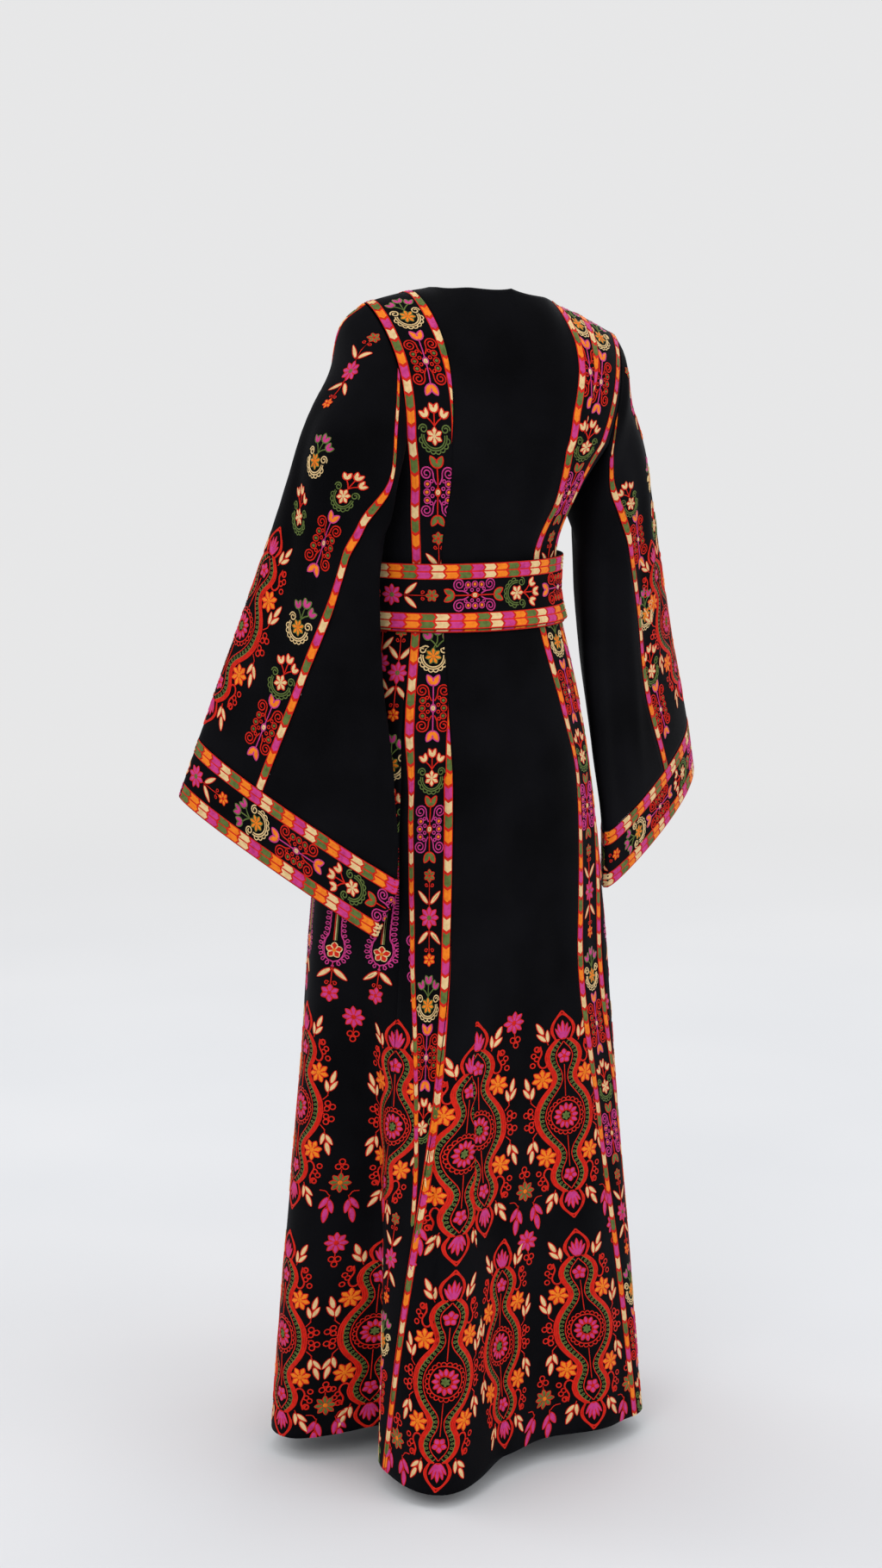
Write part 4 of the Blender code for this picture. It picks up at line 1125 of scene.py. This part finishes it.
def stripe(cloth, u, top, length, first, colours=DOWN, two=False, turn=0.0, **how):
    """A chevron stripe of a length from top on. The first colour is centred first on from it."""
    skipped = int(math.ceil(first / (PITCH * MM) - 0.5))
    turned = [colours[(k - skipped) % len(colours)] for k in range(len(colours))]
    lead = (skipped + 0.5) * PITCH * MM - first
    made = blocks(turned, (length + lead) / MM, two)
    angle = math.radians(turn)
    if turn == 0.0:
        lay(cloth, made, u, top + lead * math.cos(angle), turn=turn, **how)
    else:
        lay(cloth, made, top - lead * math.sin(angle), u, turn=turn, **how)


def full_stripe(cloth, u, green, bottom=HEM_Z, **how):
    """A chevron stripe from the top of a body piece, with a green block centred at a height."""
    top = cloth.v[-1]
    stripe(cloth, u, top, top - bottom, top - green, **how)


STRIP_END = HEM_Z - 0.05      # strips run on past the hem, which cuts them off


def strip(cloth, u, tops, over=0.1, under=STRIP_END, **how):
    """Strips of motifs down a piece, each from its top, kept between two heights."""
    for top in tops:
        for name, offset in STRIP:
            if under < top - offset < over:
                lay(cloth, name, u, top - offset, **how)


def along_strip(cloth, start, turn, v, least, most):
    """The strip of motifs along a cuff or the belt; its down points to +u or to -u."""
    sign, spare = (1.0 if turn > 0.0 else -1.0), 0.035
    for k in range(-3, 4):
        for name, offset in STRIP:
            u = start + sign * (offset + k * STRIP_PERIOD)
            if least - spare < u < most + spare:
                lay(cloth, name, u, v, turn=turn)


def line(*points):
    """The straight runs between (v, u) points, as a function of v."""
    v, u = zip(*sorted(points))
    return lambda at: np.interp(at, v, u)


def edge(cloth, share, offset=0.0):
    """A line down a body piece at a share of its width: 0 is its left edge, 1 its right."""
    low, high = cloth.edges.T
    return lambda v: (np.interp(v, cloth.v, low) * (1.0 - share)
                      + np.interp(v, cloth.v, high) * share + offset)


def shifted(along, offset):
    return lambda v: along(v) + offset


# ---------------------------------------------------------------- materials
# Each thread's lighter and darker tone: the darker one shows where the dye drifts, and as painted
# shade between the stitches.
COLOURS = {
    "scarlet": ((0.67, 0.016, 0.006), (0.45, 0.007, 0.003)),
    "orange": ((0.87, 0.225, 0.012), (0.69, 0.125, 0.006)),
    "pink": ((0.58, 0.045, 0.235), (0.39, 0.020, 0.140)),
    "cream": ((0.79, 0.57, 0.285), (0.59, 0.39, 0.170)),
    "green": ((0.120, 0.170, 0.040), (0.062, 0.090, 0.020)),
}


def settle(tree, made, *inputs, **values):
    """Set a node's inputs by place, and its inputs and settings by name; a socket is linked."""
    for name, given in (*enumerate(inputs), *values.items()):
        label = name if isinstance(name, int) else name.replace("_", " ")
        if isinstance(name, str) and label not in made.inputs:
            setattr(made, name, given)
        elif isinstance(given, bpy.types.NodeSocket):
            tree.links.new(given, made.inputs[label])
        else:
            made.inputs[label].default_value = given
    return made


def node(tree, kind, *inputs, **values):
    return settle(tree, tree.nodes.new("ShaderNode" + kind), *inputs, **values)


def new_material(name, shown=(0.8, 0.8, 0.8)):
    """A material, its tree, its shader and the place on the object."""
    material = bpy.data.materials.new(name)
    material.use_nodes = True
    material.diffuse_color = (*shown, 1.0)
    tree = material.node_tree
    place = node(tree, "TexCoord").outputs["Object"]
    return material, tree, tree.nodes["Principled BSDF"], place


def combined(tree, factor, share, rest):
    """factor times share, plus rest."""
    return node(tree, "Math", factor, share, rest, operation="MULTIPLY_ADD").outputs[0]


def bands(tree, name, direction, **how):
    """Fine waves along one direction of an attribute of the mesh."""
    flat = node(tree, "Attribute", attribute_name=name).outputs["Vector"]
    return node(tree, "TexWave", wave_type="BANDS", bands_direction=direction, Vector=flat,
                Detail=1.0, **how).outputs["Fac"]


def two_tone(tree, factor, dark, light, low, high):
    ramp = node(tree, "ValToRGB", Fac=factor)
    for element, colour, at in zip(ramp.color_ramp.elements, (dark, light), (low, high)):
        element.color, element.position = (*colour, 1.0), at
    return ramp.outputs["Color"]


def surface(tree, shader, colour, height, strength, distance, **finish):
    """The shader's colour, bump and finish."""
    bump = node(tree, "Bump", Strength=strength, Distance=distance, Height=height)
    settle(tree, shader, Base_Color=colour, Normal=bump.outputs["Normal"], Sheen_Weight=0.012,
           **finish)


def thread_material(name):
    """Satin thread: fine stitches across each cord, whose bands raise the bump and darken the
    colour between the stitches as painted shade, and a slow drift of the dye.
    """
    light, dark = COLOURS[name]
    material, tree, shader, place = new_material("thread_" + name, light)
    stitch_relief_and_shade = bands(tree, "stitch", "X", Scale=620.0, Distortion=1.2)
    drift = node(tree, "TexNoise", Vector=place, Scale=170.0, Detail=2.0).outputs["Fac"]
    # The colour mixes the dye's slow drift with the stitch bands, which paint shade into the gaps
    # between the stitches.
    colour = two_tone(tree, combined(tree, stitch_relief_and_shade, 0.30, drift), dark, light, 0.36, 0.72)
    surface(tree, shader, colour, stitch_relief_and_shade, 0.25, 0.0003, Roughness=0.5, Specular_IOR_Level=0.1,
            Sheen_Roughness=0.45)
    return material


def crepe_material():
    """Black crepe: a fine pebbled weave with a soft, slightly blue sheen."""
    material, tree, shader, place = new_material("crepe", (0.01, 0.01, 0.013))
    pebble = node(tree, "TexNoise", Vector=place, Scale=900.0, Detail=3.0, Roughness=0.7)
    cloud = node(tree, "TexNoise", Vector=place, Scale=9.0, Detail=3.0)
    waves = [bands(tree, "flat", way, Scale=330.0, Distortion=2.0) for way in ("X", "Y")]
    weave = node(tree, "Math", *waves, operation="MULTIPLY").outputs[0]
    grain = combined(tree, weave, 0.5, pebble.outputs["Fac"])
    tone = combined(tree, grain, 0.45, cloud.outputs["Fac"])
    colour = two_tone(tree, tone, (0.0010, 0.0010, 0.0014), (0.0042, 0.0042, 0.0056), 0.55, 1.15)
    surface(tree, shader, colour, grain, 0.3, 0.0004, Roughness=0.7, Specular_IOR_Level=0.03,
            Sheen_Roughness=0.35, Sheen_Tint=(0.72, 0.78, 1.0, 1.0))
    return material


# ---------------------------------------------------------------- making objects
def linked(name, data):
    """A new object in the scene."""
    made = bpy.data.objects.new(name, data)
    bpy.context.scene.collection.objects.link(made)
    return made


def mesh_object(name, points, quads, material, attribute, values):
    mesh = bpy.data.meshes.new(name)
    mesh.vertices.add(len(points))
    mesh.vertices.foreach_set("co", np.asarray(points, np.float32).ravel())
    mesh.loops.add(4 * len(quads))
    mesh.loops.foreach_set("vertex_index", np.asarray(quads, np.int32).ravel())
    mesh.polygons.add(len(quads))
    mesh.polygons.foreach_set("loop_start", np.arange(0, 4 * len(quads), 4, dtype=np.int32))
    mesh.polygons.foreach_set("loop_total", np.full(len(quads), 4, np.int32))
    mesh.update(calc_edges=True)
    mesh.polygons.foreach_set("use_smooth", np.ones(len(quads), bool))
    written = mesh.attributes.new(attribute, "FLOAT_VECTOR", "POINT")
    written.data.foreach_set("vector", np.asarray(values, np.float32).ravel())
    mesh.materials.append(material)
    return linked(name, mesh)


def cloth_object(cloth, material):
    """A piece as a wall of cloth, with its flat coordinates for the weave."""
    index = np.arange(cloth.rows * cloth.columns).reshape(cloth.rows, cloth.columns)
    if cloth.closed:
        index[:, -1] = index[:, 0]
    quads = np.stack([index[:-1, :-1], index[:-1, 1:], index[1:, 1:], index[1:, :-1]], -1)
    quads = quads.reshape(-1, 4)
    if cloth.mirrored:
        quads = quads[:, ::-1]
    share = np.linspace(0.0, 1.0, cloth.columns)
    u = cloth.edges[:, :1] + (cloth.edges[:, 1:] - cloth.edges[:, :1]) * share
    v = cloth.v if cloth.v.ndim == 2 else np.broadcast_to(cloth.v[:, None], u.shape)
    flat = np.stack([u, v, np.zeros(u.shape)], -1).reshape(-1, 3)
    used, index = np.unique(quads, return_inverse=True)
    made = mesh_object(cloth.name + "_cloth", cloth.points.reshape(-1, 3)[used],
                       index.reshape(-1, 4), material, "flat", flat[used])
    wall = made.modifiers.new("wall", "SOLIDIFY")
    wall.thickness, wall.offset = CLOTH, -1.0
    return made


def thread_objects():
    """Joined threads by region and colour, each with the name of the piece that carries it."""
    materials = {colour: thread_material(colour) for colour in COLOURS}
    carriers = {region: name for name, region in reversed(REGIONS.items())}
    made = []
    for (region, colour), pieces in sorted(THREADS.items()):
        points, stitch, quads = joined(pieces)
        values = np.concatenate([stitch, np.zeros((len(stitch), 1))], axis=1)
        thread = mesh_object(f"{region}_{colour}", points, quads, materials[colour], "stitch",
                             values)
        made.append((thread, carriers[region]))
    return made


# ---------------------------------------------------------------- where the embroidery lies
CHEVRON, CHEVRON_HALF = 0.0055, 0.0055    # a band's stripes: middle from its edge, half width
STRIP_IN = 0.0320                         # middle of a band's strip from its outer edge
LEFT_TOPS = (0.023, -0.369, -0.774, -1.179)
RIGHT_TOPS = (0.018, -0.362, -0.767, -1.172)
# From the belt down, the left back band's stripes and strip leave its edges: they are placed by
# u along the cloth. Above these heights they follow the edges.
LEFT_OUTER_TOP, LEFT_INNER_TOP, LEFT_STRIP_TOP = -0.3865, -0.55, -0.3999
LEFT_END = -1.068                         # where the outer stripe runs out
LEFT_OUTER = line((-0.3865, -0.0340), (-0.4703, -0.0453), (-0.5035, -0.0484),
                  (-0.6057, -0.0501), (-0.6886, -0.0489), (-0.7695, -0.0456),
                  (-0.7984, -0.0426), (-0.868, -0.0331), (-0.938, -0.0225),
                  (-0.998, -0.0134), (-1.068, -0.0052))
LEFT_INNER = line((-0.550, -0.0055), (-0.7368, -0.0051), (-0.800, -0.0040), (-0.856, -0.0020),
                  (-0.920, 0.0015), (-1.070, 0.0035), (-1.150, 0.0045), (-1.200, 0.0037),
                  (-1.351, 0.0))
LEFT_STRIP = line((-0.3999, -0.0134), (-0.4478, -0.0168), (-0.548, -0.0253),
                  (-0.614, -0.0284), (-0.7124, -0.0267), (-0.815, -0.0232),
                  (-0.870, -0.0190), (-0.947, -0.0120))
LEFT_WIDTH = line((-0.500, 1.0), (-0.580, 0.55))   # of the outer stripe, which turns edge-on
# Where the inner stripe crosses onto the back panel, and its first block from there.
PANEL_STRIPE_TOP, PANEL_STRIPE_FIRST = -0.5440, 0.1930


def left_outer(band):
    """Middle of the left band's outer chevron, by height."""
    above = edge(band, 0, CHEVRON)
    return lambda v: np.where(v > LEFT_OUTER_TOP, above(v), LEFT_OUTER(v))


def embroider_left_back_band(cloth, panel):
    outer, above = left_outer(cloth), edge(cloth, 0, STRIP_IN)
    left, right = edge(cloth, 0, CHEVRON), edge(cloth, 1, -CHEVRON)

    def inner(v):
        upper = np.maximum(left(v) + BAND_WIDTH - 2.0 * CHEVRON, right(v))
        return np.where(v > LEFT_INNER_TOP, upper, LEFT_INNER(v))

    def middle(v):
        return np.where(v > LEFT_STRIP_TOP, above(v), LEFT_STRIP(v))

    full_stripe(cloth, outer, -0.796, bottom=LEFT_END, wide=LEFT_WIDTH)
    full_stripe(cloth, inner, -0.737)
    stripe(panel, LEFT_INNER, PANEL_STRIPE_TOP, PANEL_STRIPE_TOP - HEM_Z, PANEL_STRIPE_FIRST)
    high = shifted(inner, -CHEVRON_HALF)
    for over, under, cut, wide in ((0.1, -0.50, 1.0, 1.0), (-0.50, -0.80, 0.5, 0.88),
                                   (-0.80, -1.0, 0.5, 0.73)):
        low = shifted(outer, cut * CHEVRON_HALF)
        strip(cloth, middle, LEFT_TOPS, over, under, wide=wide, low=low, high=high)
    strip(cloth, -0.034, LEFT_TOPS, -1.09, high=high)


# The right back band swings over the shoulder blade, inwards from the band's own seams:
# its stripes and its strip, from the band's left edge.
RIGHT_INNER = line((-0.050, 0.0055), (-0.083, 0.0010), (-0.129, -0.0122), (-0.166, -0.0150),
                   (-0.210, -0.0040), (-0.240, 0.0055))
RIGHT_OUTER = line((-0.033, 0.0575), (-0.0935, 0.0505), (-0.151, 0.0432), (-0.184, 0.0375),
                   (-0.208, 0.0385), (-0.260, 0.0500), (-0.300, 0.0575))
RIGHT_MIDDLE = line((0.020, 0.0260), (-0.022, 0.0215), (-0.076, 0.0145), (-0.154, 0.0085),
                    (-0.211, 0.0140), (-0.260, 0.0260), (-0.300, 0.0310))


def embroider_right_back_band(cloth, panel):
    left = edge(cloth, 0)
    inner, outer, middle = (lambda v, path=path: left(v) + path(v)
                            for path in (RIGHT_INNER, RIGHT_OUTER, RIGHT_MIDDLE))
    full_stripe(cloth, outer, -0.651)
    low, high = shifted(inner, CHEVRON_HALF), shifted(outer, -CHEVRON_HALF)
    for piece, under in ((cloth, STRIP_END), (panel, -0.350)):
        full_stripe(piece, inner, -0.651)
        strip(piece, middle, RIGHT_TOPS, under=under, low=low, high=high)


def embroider_front_band(cloth, tops, middle):
    """Two chevron stripes and the strip of motifs, down a front princess band."""
    for along in (edge(cloth, 0, CHEVRON), edge(cloth, 1, -CHEVRON)):
        full_stripe(cloth, along, -0.700)
    strip(cloth, middle, tops)


# The back panel's pleat from the belt to the hem, and the axes of its columns of medallions.
PLEAT_LINE = line((-0.4378, 0.0043), (-0.6329, 0.0105), (-0.8352, 0.0415), (-0.8997, 0.0451),
                  (-0.9808, 0.0621), (-1.0337, 0.0701), (-1.1015, 0.0905), (-1.1519, 0.1158),
                  (-1.240, 0.124), (-1.360, 0.155))
BACK_COLUMN_1 = line((-0.860, 0.0440), (-0.9874, 0.0455), (-1.0746, 0.0541), (-1.2417, 0.0740),
                     (-1.3097, 0.0803), (-1.360, 0.0870))
BACK_COLUMN_2_HIGH = line((-0.8455, 0.0441), (-0.9623, 0.0668), (-1.0934, 0.1068))
BACK_COLUMN_2_LOW = line((-1.120, 0.1470), (-1.1367, 0.1535), (-1.2324, 0.1741),
                         (-1.3158, 0.2041), (-1.3623, 0.2200))
BACK_COLUMN_3 = line((-0.8427, 0.1710), (-0.8848, 0.1814), (-0.9682, 0.2032),
                     (-1.0477, 0.2302), (-1.1647, 0.2794), (-1.2390, 0.3130),
                     (-1.3165, 0.3446), (-1.3637, 0.3612))
BACK_BETWEEN = line((-0.8476, 0.1007), (-1.0482, 0.1625), (-1.1080, 0.1829),
                    (-1.3212, 0.2772))
SIDE_COLUMN_A = line((-0.862, -0.0613), (-0.9586, -0.0568), (-1.0043, -0.0674),
                     (-1.0448, -0.0777), (-1.139, -0.1063), (-1.1933, -0.1160),
                     (-1.2452, -0.1225), (-1.3071, -0.1307), (-1.3515, -0.1346))
SIDE_COLUMN_B = line((-0.9056, -0.2124), (-0.9748, -0.2238), (-1.2414, -0.2490))
SIDE_BETWEEN = line((-0.8497, -0.1333), (-1.0545, -0.1616), (-1.1175, -0.1650),
                    (-1.3227, -0.1883))
PENDANTS = ((line((-0.70, -0.0780), (-0.7604, -0.0861), (-0.8168, -0.0992)), -0.7524),
            (line((-0.70, -0.1500), (-0.7646, -0.1577), (-0.8194, -0.1656)), -0.7566),
            (line((-0.70, -0.2220), (-0.7646, -0.2290), (-0.8194, -0.2350)), -0.7566))
ROWS, SIDE_ROWS = (-0.968, -1.236), (-0.9630, -1.2450)   # heights of the rows of medallions
MEDALLION_PITCH = 0.112                   # between columns that need no widening
SIDE_STRIP = (("chain", -0.430), ("cream_vase", -0.525), ("green_vase", -0.588),
              ("red_butterfly", -0.661))
SIDE_IN = 0.012                           # middle of a side panel's strip from its edge


def embroider_back_panel(cloth):
    for v, wide in ((-0.9874, 1.18), (-1.2417, 1.06)):
        lay(cloth, "medallion", BACK_COLUMN_1, v, size=0.975, wide=wide, high=PLEAT_LINE)
    lay(cloth, "medallion", BACK_COLUMN_2_HIGH, -0.9650, wide=1.15, low=PLEAT_LINE)
    lay(cloth, "medallion", BACK_COLUMN_2_LOW, -1.2324, wide=0.95, low=PLEAT_LINE)
    for v, wide in ((-0.9690, 1.15), (-1.2396, 1.20)):
        lay(cloth, "medallion", BACK_COLUMN_3, v, wide=wide)
        lay(cloth, "between", shifted(BACK_COLUMN_3, 0.072), v, wide=wide)
    for v in (-0.9665, -1.2340):
        lay(cloth, "between", BACK_BETWEEN, v, wide=1.15, low=PLEAT_LINE)
        lay(cloth, "between", shifted(BACK_COLUMN_1, -0.062), v, wide=1.1)


def columns(cloth, medallions, betweens):
    """Columns of medallions, and of the flowers between them, at shares of the width."""
    for v in ROWS:
        wide = (edge(cloth, medallions[1])(v) - edge(cloth, medallions[0])(v)) / MEDALLION_PITCH
        for name, shares in (("medallion", medallions), ("between", betweens)):
            for share in shares:
                lay(cloth, name, edge(cloth, share), v, wide=wide)


def side_strip(cloth, along):
    for name, v in SIDE_STRIP:
        lay(cloth, name, along, v)


def embroider_left_side(cloth, band):
    """The left side panel, and what runs on from it over the edge of the back band, as far as
    the band's outer stripe."""
    lay(cloth, "chain", edge(cloth, 1, -0.037), -0.420)
    side_strip(cloth, edge(cloth, 1, -SIDE_IN))
    side_strip(cloth, edge(cloth, 0, SIDE_IN))
    for along, v in PENDANTS:
        lay(cloth, "pendant", along, v, wide=1.3)
    outer, seam = left_outer(band), edge(band, 1, -CHEVRON)

    def cut(v):
        return np.where(v > LEFT_END, outer(v) + 0.5 * CHEVRON_HALF, seam(v)) - CHEVRON_HALF

    under = shifted(outer, 0.012)
    for name, v, turn in (("pink_butterfly", -0.762, 0.0), ("pink_flower", -0.828, 180.0)):
        for piece in (cloth, band):
            lay(piece, name, under, v, turn=turn, high=cut)
    for v in SIDE_ROWS:
        lay(cloth, "medallion", SIDE_COLUMN_A, v, wide=1.18)
        lay(band, "medallion", SIDE_COLUMN_A, v, wide=1.18, high=cut)
        lay(cloth, "medallion", SIDE_COLUMN_B, v, wide=1.1)
        lay(cloth, "between", SIDE_BETWEEN, v, wide=1.1)
        lay(cloth, "between", shifted(SIDE_COLUMN_B, -0.068), v)


def embroider_right_side(cloth):
    side_strip(cloth, edge(cloth, 0, SIDE_IN))
    side_strip(cloth, edge(cloth, 1, -SIDE_IN))
    for share in (0.16, 0.50, 0.84):
        lay(cloth, "pendant", edge(cloth, share), -0.755, wide=1.3)
    columns(cloth, (0.24, 0.76), (-0.02, 0.50, 1.02))


# Each sleeve's motifs: name, place across, height above the cuff seam, edge it is counted from.
SLEEVE_MOTIFS = {
    "left": (
        ("chain", 0.0555, 0.486, None), ("cream_vase", 0.0930, 0.3804, None),
        ("green_vase", 0.0755, 0.3106, None),
        ("green_vase", -0.0460, 0.3640, "high"), ("red_butterfly", -0.0440, 0.2920, "high"),
        ("cream_vase", -0.0350, 0.2010, "high"), ("green_vase", -0.0305, 0.1330, "high"),
        ("red_butterfly", -0.0295, 0.0655, "high"),
        ("green_vase", 0.0450, 0.3500, "low"), ("red_butterfly", 0.0430, 0.2800, "low"),
        ("cream_vase", 0.0360, 0.1963, "low"), ("green_vase", 0.0336, 0.1292, "low"),
        ("red_butterfly", 0.0320, 0.0633, "low")),
    "right": (
        ("chain", 0.0500, 0.476, None), ("cream_vase", 0.0700, 0.376, None),
        ("green_vase", 0.0660, 0.306, None),
        ("green_vase", -0.0260, 0.3750, "high"), ("red_butterfly", -0.0290, 0.3080, "high"),
        ("cream_vase", -0.0240, 0.2150, "high"), ("green_vase", -0.0245, 0.1400, "high"),
        ("red_butterfly", -0.0270, 0.0740, "high"),
        ("green_vase", 0.0450, 0.3600, "low"), ("red_butterfly", 0.0430, 0.2900, "low"),
        ("cream_vase", 0.0360, 0.2060, "low"), ("green_vase", 0.0336, 0.1390, "low"),
        ("red_butterfly", 0.0320, 0.0700, "low")),
}
SLEEVE_MEDALLION = {
    "left": (line((0.0, 0.006), (0.1457, 0.0178), (0.300, 0.045)), 0.1457),
    "right": (line((0.0, 0.045), (0.162, 0.074), (0.280, 0.095)), 0.1620),
}
SLEEVE_ORDER, SLEEVE_FIRST = ("green", "cream", "pink", "orange"), 0.02
LANES_IN = 0.0095         # middle of a double stripe from the edge of a cuff or the belt
# Where each cuff's strip starts and which way it runs, and its stripes' colours, upper first.
CUFF_STRIP = {"left": (0.086, 90.0), "right": (0.285, -90.0)}
CUFF_ORDERS = {"left": (DOWN, ("green", "orange", "cream", "pink")),
               "right": (DOWN, ("cream", "pink", "green", "orange"))}
# The belt: turns that the upper layer makes, colours of its stripes, the lower stripe's first
# block, and where its strip of motifs starts and lies.
BELT_SHOWN, BELT_FIRST = 1.02, 0.859
BELT_ORDERS = (("cream", "orange", "green", "pink"), ("cream", "pink", "orange", "green"))
BELT_STRIP, BELT_STRIP_V = 1.2082, -0.0375


def embroider_sleeve(side, cloth):
    top = float(cloth.v[-1].max())
    for u, anchor in ((-CHEVRON, "high"), (CHEVRON, "low")):
        stripe(cloth, u, top, top, SLEEVE_FIRST, SLEEVE_ORDER, anchor=anchor)
    lay(cloth, "medallion", *SLEEVE_MEDALLION[side])
    for name, u, v, anchor in SLEEVE_MOTIFS[side]:
        lay(cloth, name, u, v, anchor=anchor)


def embroider_cuff(side, cloth):
    """Stripes of a whole number of blocks, squeezed to meet where they close."""
    start, turn = CUFF_STRIP[side]
    half = 0.5 * float(cloth.edges[:, 1].max())
    deep = float(cloth.v[-1].mean())
    block = PITCH * MM
    count = round(2.0 * half / block)
    # Both lengths stop just short of whole blocks, so that rounding adds none.
    for v, order in zip((deep - LANES_IN, LANES_IN), CUFF_ORDERS[side]):
        stripe(cloth, v, math.copysign(half, -turn), (count - 0.01) * block, 0.499 * block,
               order, two=True, turn=turn, size=2.0 * half / (count * block))
    along_strip(cloth, start, turn, 0.5 * deep, -half, half)


def embroider_belt(cloth):
    whole = float(cloth.edges[0, 1])
    start = whole * (1.0 - BELT_SHOWN / BELT_TURNS)
    for v, first, block, order in ((-LANES_IN, start, 0.0, BELT_ORDERS[0]),
                                   (-BELT_HEIGHT + LANES_IN, 0.0, BELT_FIRST, BELT_ORDERS[1])):
        stripe(cloth, v, first, whole - first, block, order, two=True, turn=90.0)
    along_strip(cloth, BELT_STRIP, -90.0, BELT_STRIP_V, start, whole)


# ---------------------------------------------------------------- the whole garment
def all_cloths():
    pieces = [body_cloth(name) for name in PIECE_ORDER]
    for side in ("left", "right"):
        sleeve = Sleeve(side)
        pieces += [sleeve.cloth(kind) for kind in ("sleeve_top", "sleeve_under", "cuff")]
    return {piece.name: piece for piece in (*pieces, belt_cloth())}


def embroider(cloths):
    panel, band = cloths["back_panel"], cloths["back_band_left"]
    left, right = cloths["front_band_left"], cloths["front_band_right"]
    embroider_left_back_band(band, panel)
    embroider_right_back_band(cloths["back_band_right"], panel)
    embroider_front_band(left, RIGHT_TOPS, edge(left, 0, STRIP_IN))
    embroider_front_band(right, LEFT_TOPS, edge(right, 1, -STRIP_IN))
    embroider_back_panel(panel)
    columns(cloths["front_panel"], (1 / 6, 1 / 2, 5 / 6), (0, 1 / 3, 2 / 3, 1))
    embroider_left_side(cloths["side_panel_left"], band)
    embroider_right_side(cloths["side_panel_right"])
    for side in ("left", "right"):
        embroider_sleeve(side, cloths["sleeve_top_" + side])
        embroider_cuff(side, cloths["cuff_" + side])
    embroider_belt(cloths["belt"])


def build():
    cloths = all_cloths()
    embroider(cloths)
    crepe, threads = crepe_material(), thread_objects()
    for name, cloth in cloths.items():
        piece = cloth_object(cloth, crepe)
        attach(piece, "root")
        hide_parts(name)
    for thread, _ in threads:
        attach(thread, "root")


# ---------------------------------------------------------------- floor, light and camera
FLOOR_Z, FLOOR_RADIUS = -1.398, 30.0
FLOOR_NEAR, FLOOR_FAR = 1.2, 5.0      # radii between which the floor turns into the backdrop
WORLD = (0.80, 0.80, 0.805, 1.0)
CAMERA_PLACE, CAMERA_TILT, CAMERA_TURN = (1.4884, 3.7144, 0.10), 80.3, 159.0
FOCAL_PIXELS, PHOTO_PIXELS, SENSOR = 3873.0, 1820.0, 36.0     # both over the photo's height
# Name, place, height aimed at, size, power, colour.
LIGHTS = (
    ("key", (2.6, 3.2, 1.6), -0.6, 2.2, 42.0, (1.0, 0.985, 0.96)),
    ("fill", (-2.6, 2.6, 1.1), -0.7, 2.6, 24.0, (0.96, 0.98, 1.0)),
    ("front_left", (2.4, -2.8, 1.4), -0.6, 2.6, 24.0, (1.0, 1.0, 1.0)),
    ("front_right", (-2.4, -2.8, 1.4), -0.6, 2.6, 24.0, (1.0, 1.0, 1.0)),
    ("top", (0.0, 0.4, 3.0), -0.5, 2.4, 20.0, (1.0, 1.0, 1.0)),
)


def stage_material():
    """A pale studio floor that turns into the evenly lit backdrop with the distance."""
    material, tree, shader, place = new_material("floor")
    cloud = node(tree, "TexNoise", Vector=place, Scale=1.3, Detail=2.0)
    colour = two_tone(tree, cloud.outputs["Fac"], (0.70, 0.715, 0.74), (0.74, 0.75, 0.77),
                      0.3, 0.7)
    settle(tree, shader, Base_Color=colour, Roughness=0.8, Specular_IOR_Level=0.1)
    glow = node(tree, "Emission", Color=WORLD, Strength=1.0)
    away = node(tree, "VectorMath", place, operation="LENGTH").outputs["Value"]
    share = node(tree, "MapRange", away, FLOOR_NEAR, FLOOR_FAR, interpolation_type="SMOOTHSTEP")
    mixed = node(tree, "MixShader", share.outputs["Result"], shader.outputs[0], glow.outputs[0])
    settle(tree, tree.nodes["Material Output"], Surface=mixed.outputs[0])
    return material


def make_stage():
    mesh = bpy.data.meshes.new("floor")
    turn = np.linspace(0.0, 2.0 * math.pi, 96, endpoint=False)
    disc = [(FLOOR_RADIUS * math.cos(a), FLOOR_RADIUS * math.sin(a), 0.0) for a in turn]
    mesh.from_pydata(disc, [], [list(range(len(disc)))])
    mesh.materials.append(stage_material())
    floor = linked("floor", mesh)
    floor.location = (0.0, 0.0, FLOOR_Z)
    world = bpy.data.worlds.new("studio")
    bpy.context.scene.world = world
    world.use_nodes = True
    settle(world.node_tree, world.node_tree.nodes["Background"], Color=WORLD, Strength=1.0)


def make_lights():
    for name, place, height, size, power, colour in LIGHTS:
        data = bpy.data.lights.new(name, "AREA")
        data.shape, data.size, data.energy, data.color = "DISK", size, power, colour
        light = linked(name, data)
        light.location = place
        way = Vector((0.03, 0.0, height)) - Vector(place)
        light.rotation_euler = way.to_track_quat("-Z", "Y").to_euler()


def make_camera():
    data = bpy.data.cameras.new("camera")
    data.sensor_fit, data.sensor_height = "VERTICAL", SENSOR
    data.lens = FOCAL_PIXELS / PHOTO_PIXELS * SENSOR
    data.clip_start, data.clip_end = 0.05, 60.0
    camera = linked("camera", data)
    camera.location = CAMERA_PLACE
    camera.rotation_euler = (math.radians(CAMERA_TILT), 0.0, math.radians(CAMERA_TURN))
    bpy.context.scene.camera = camera


make_camera()
make_stage()
make_lights()
build()
bpy.context.scene.view_settings.view_transform = "Standard"
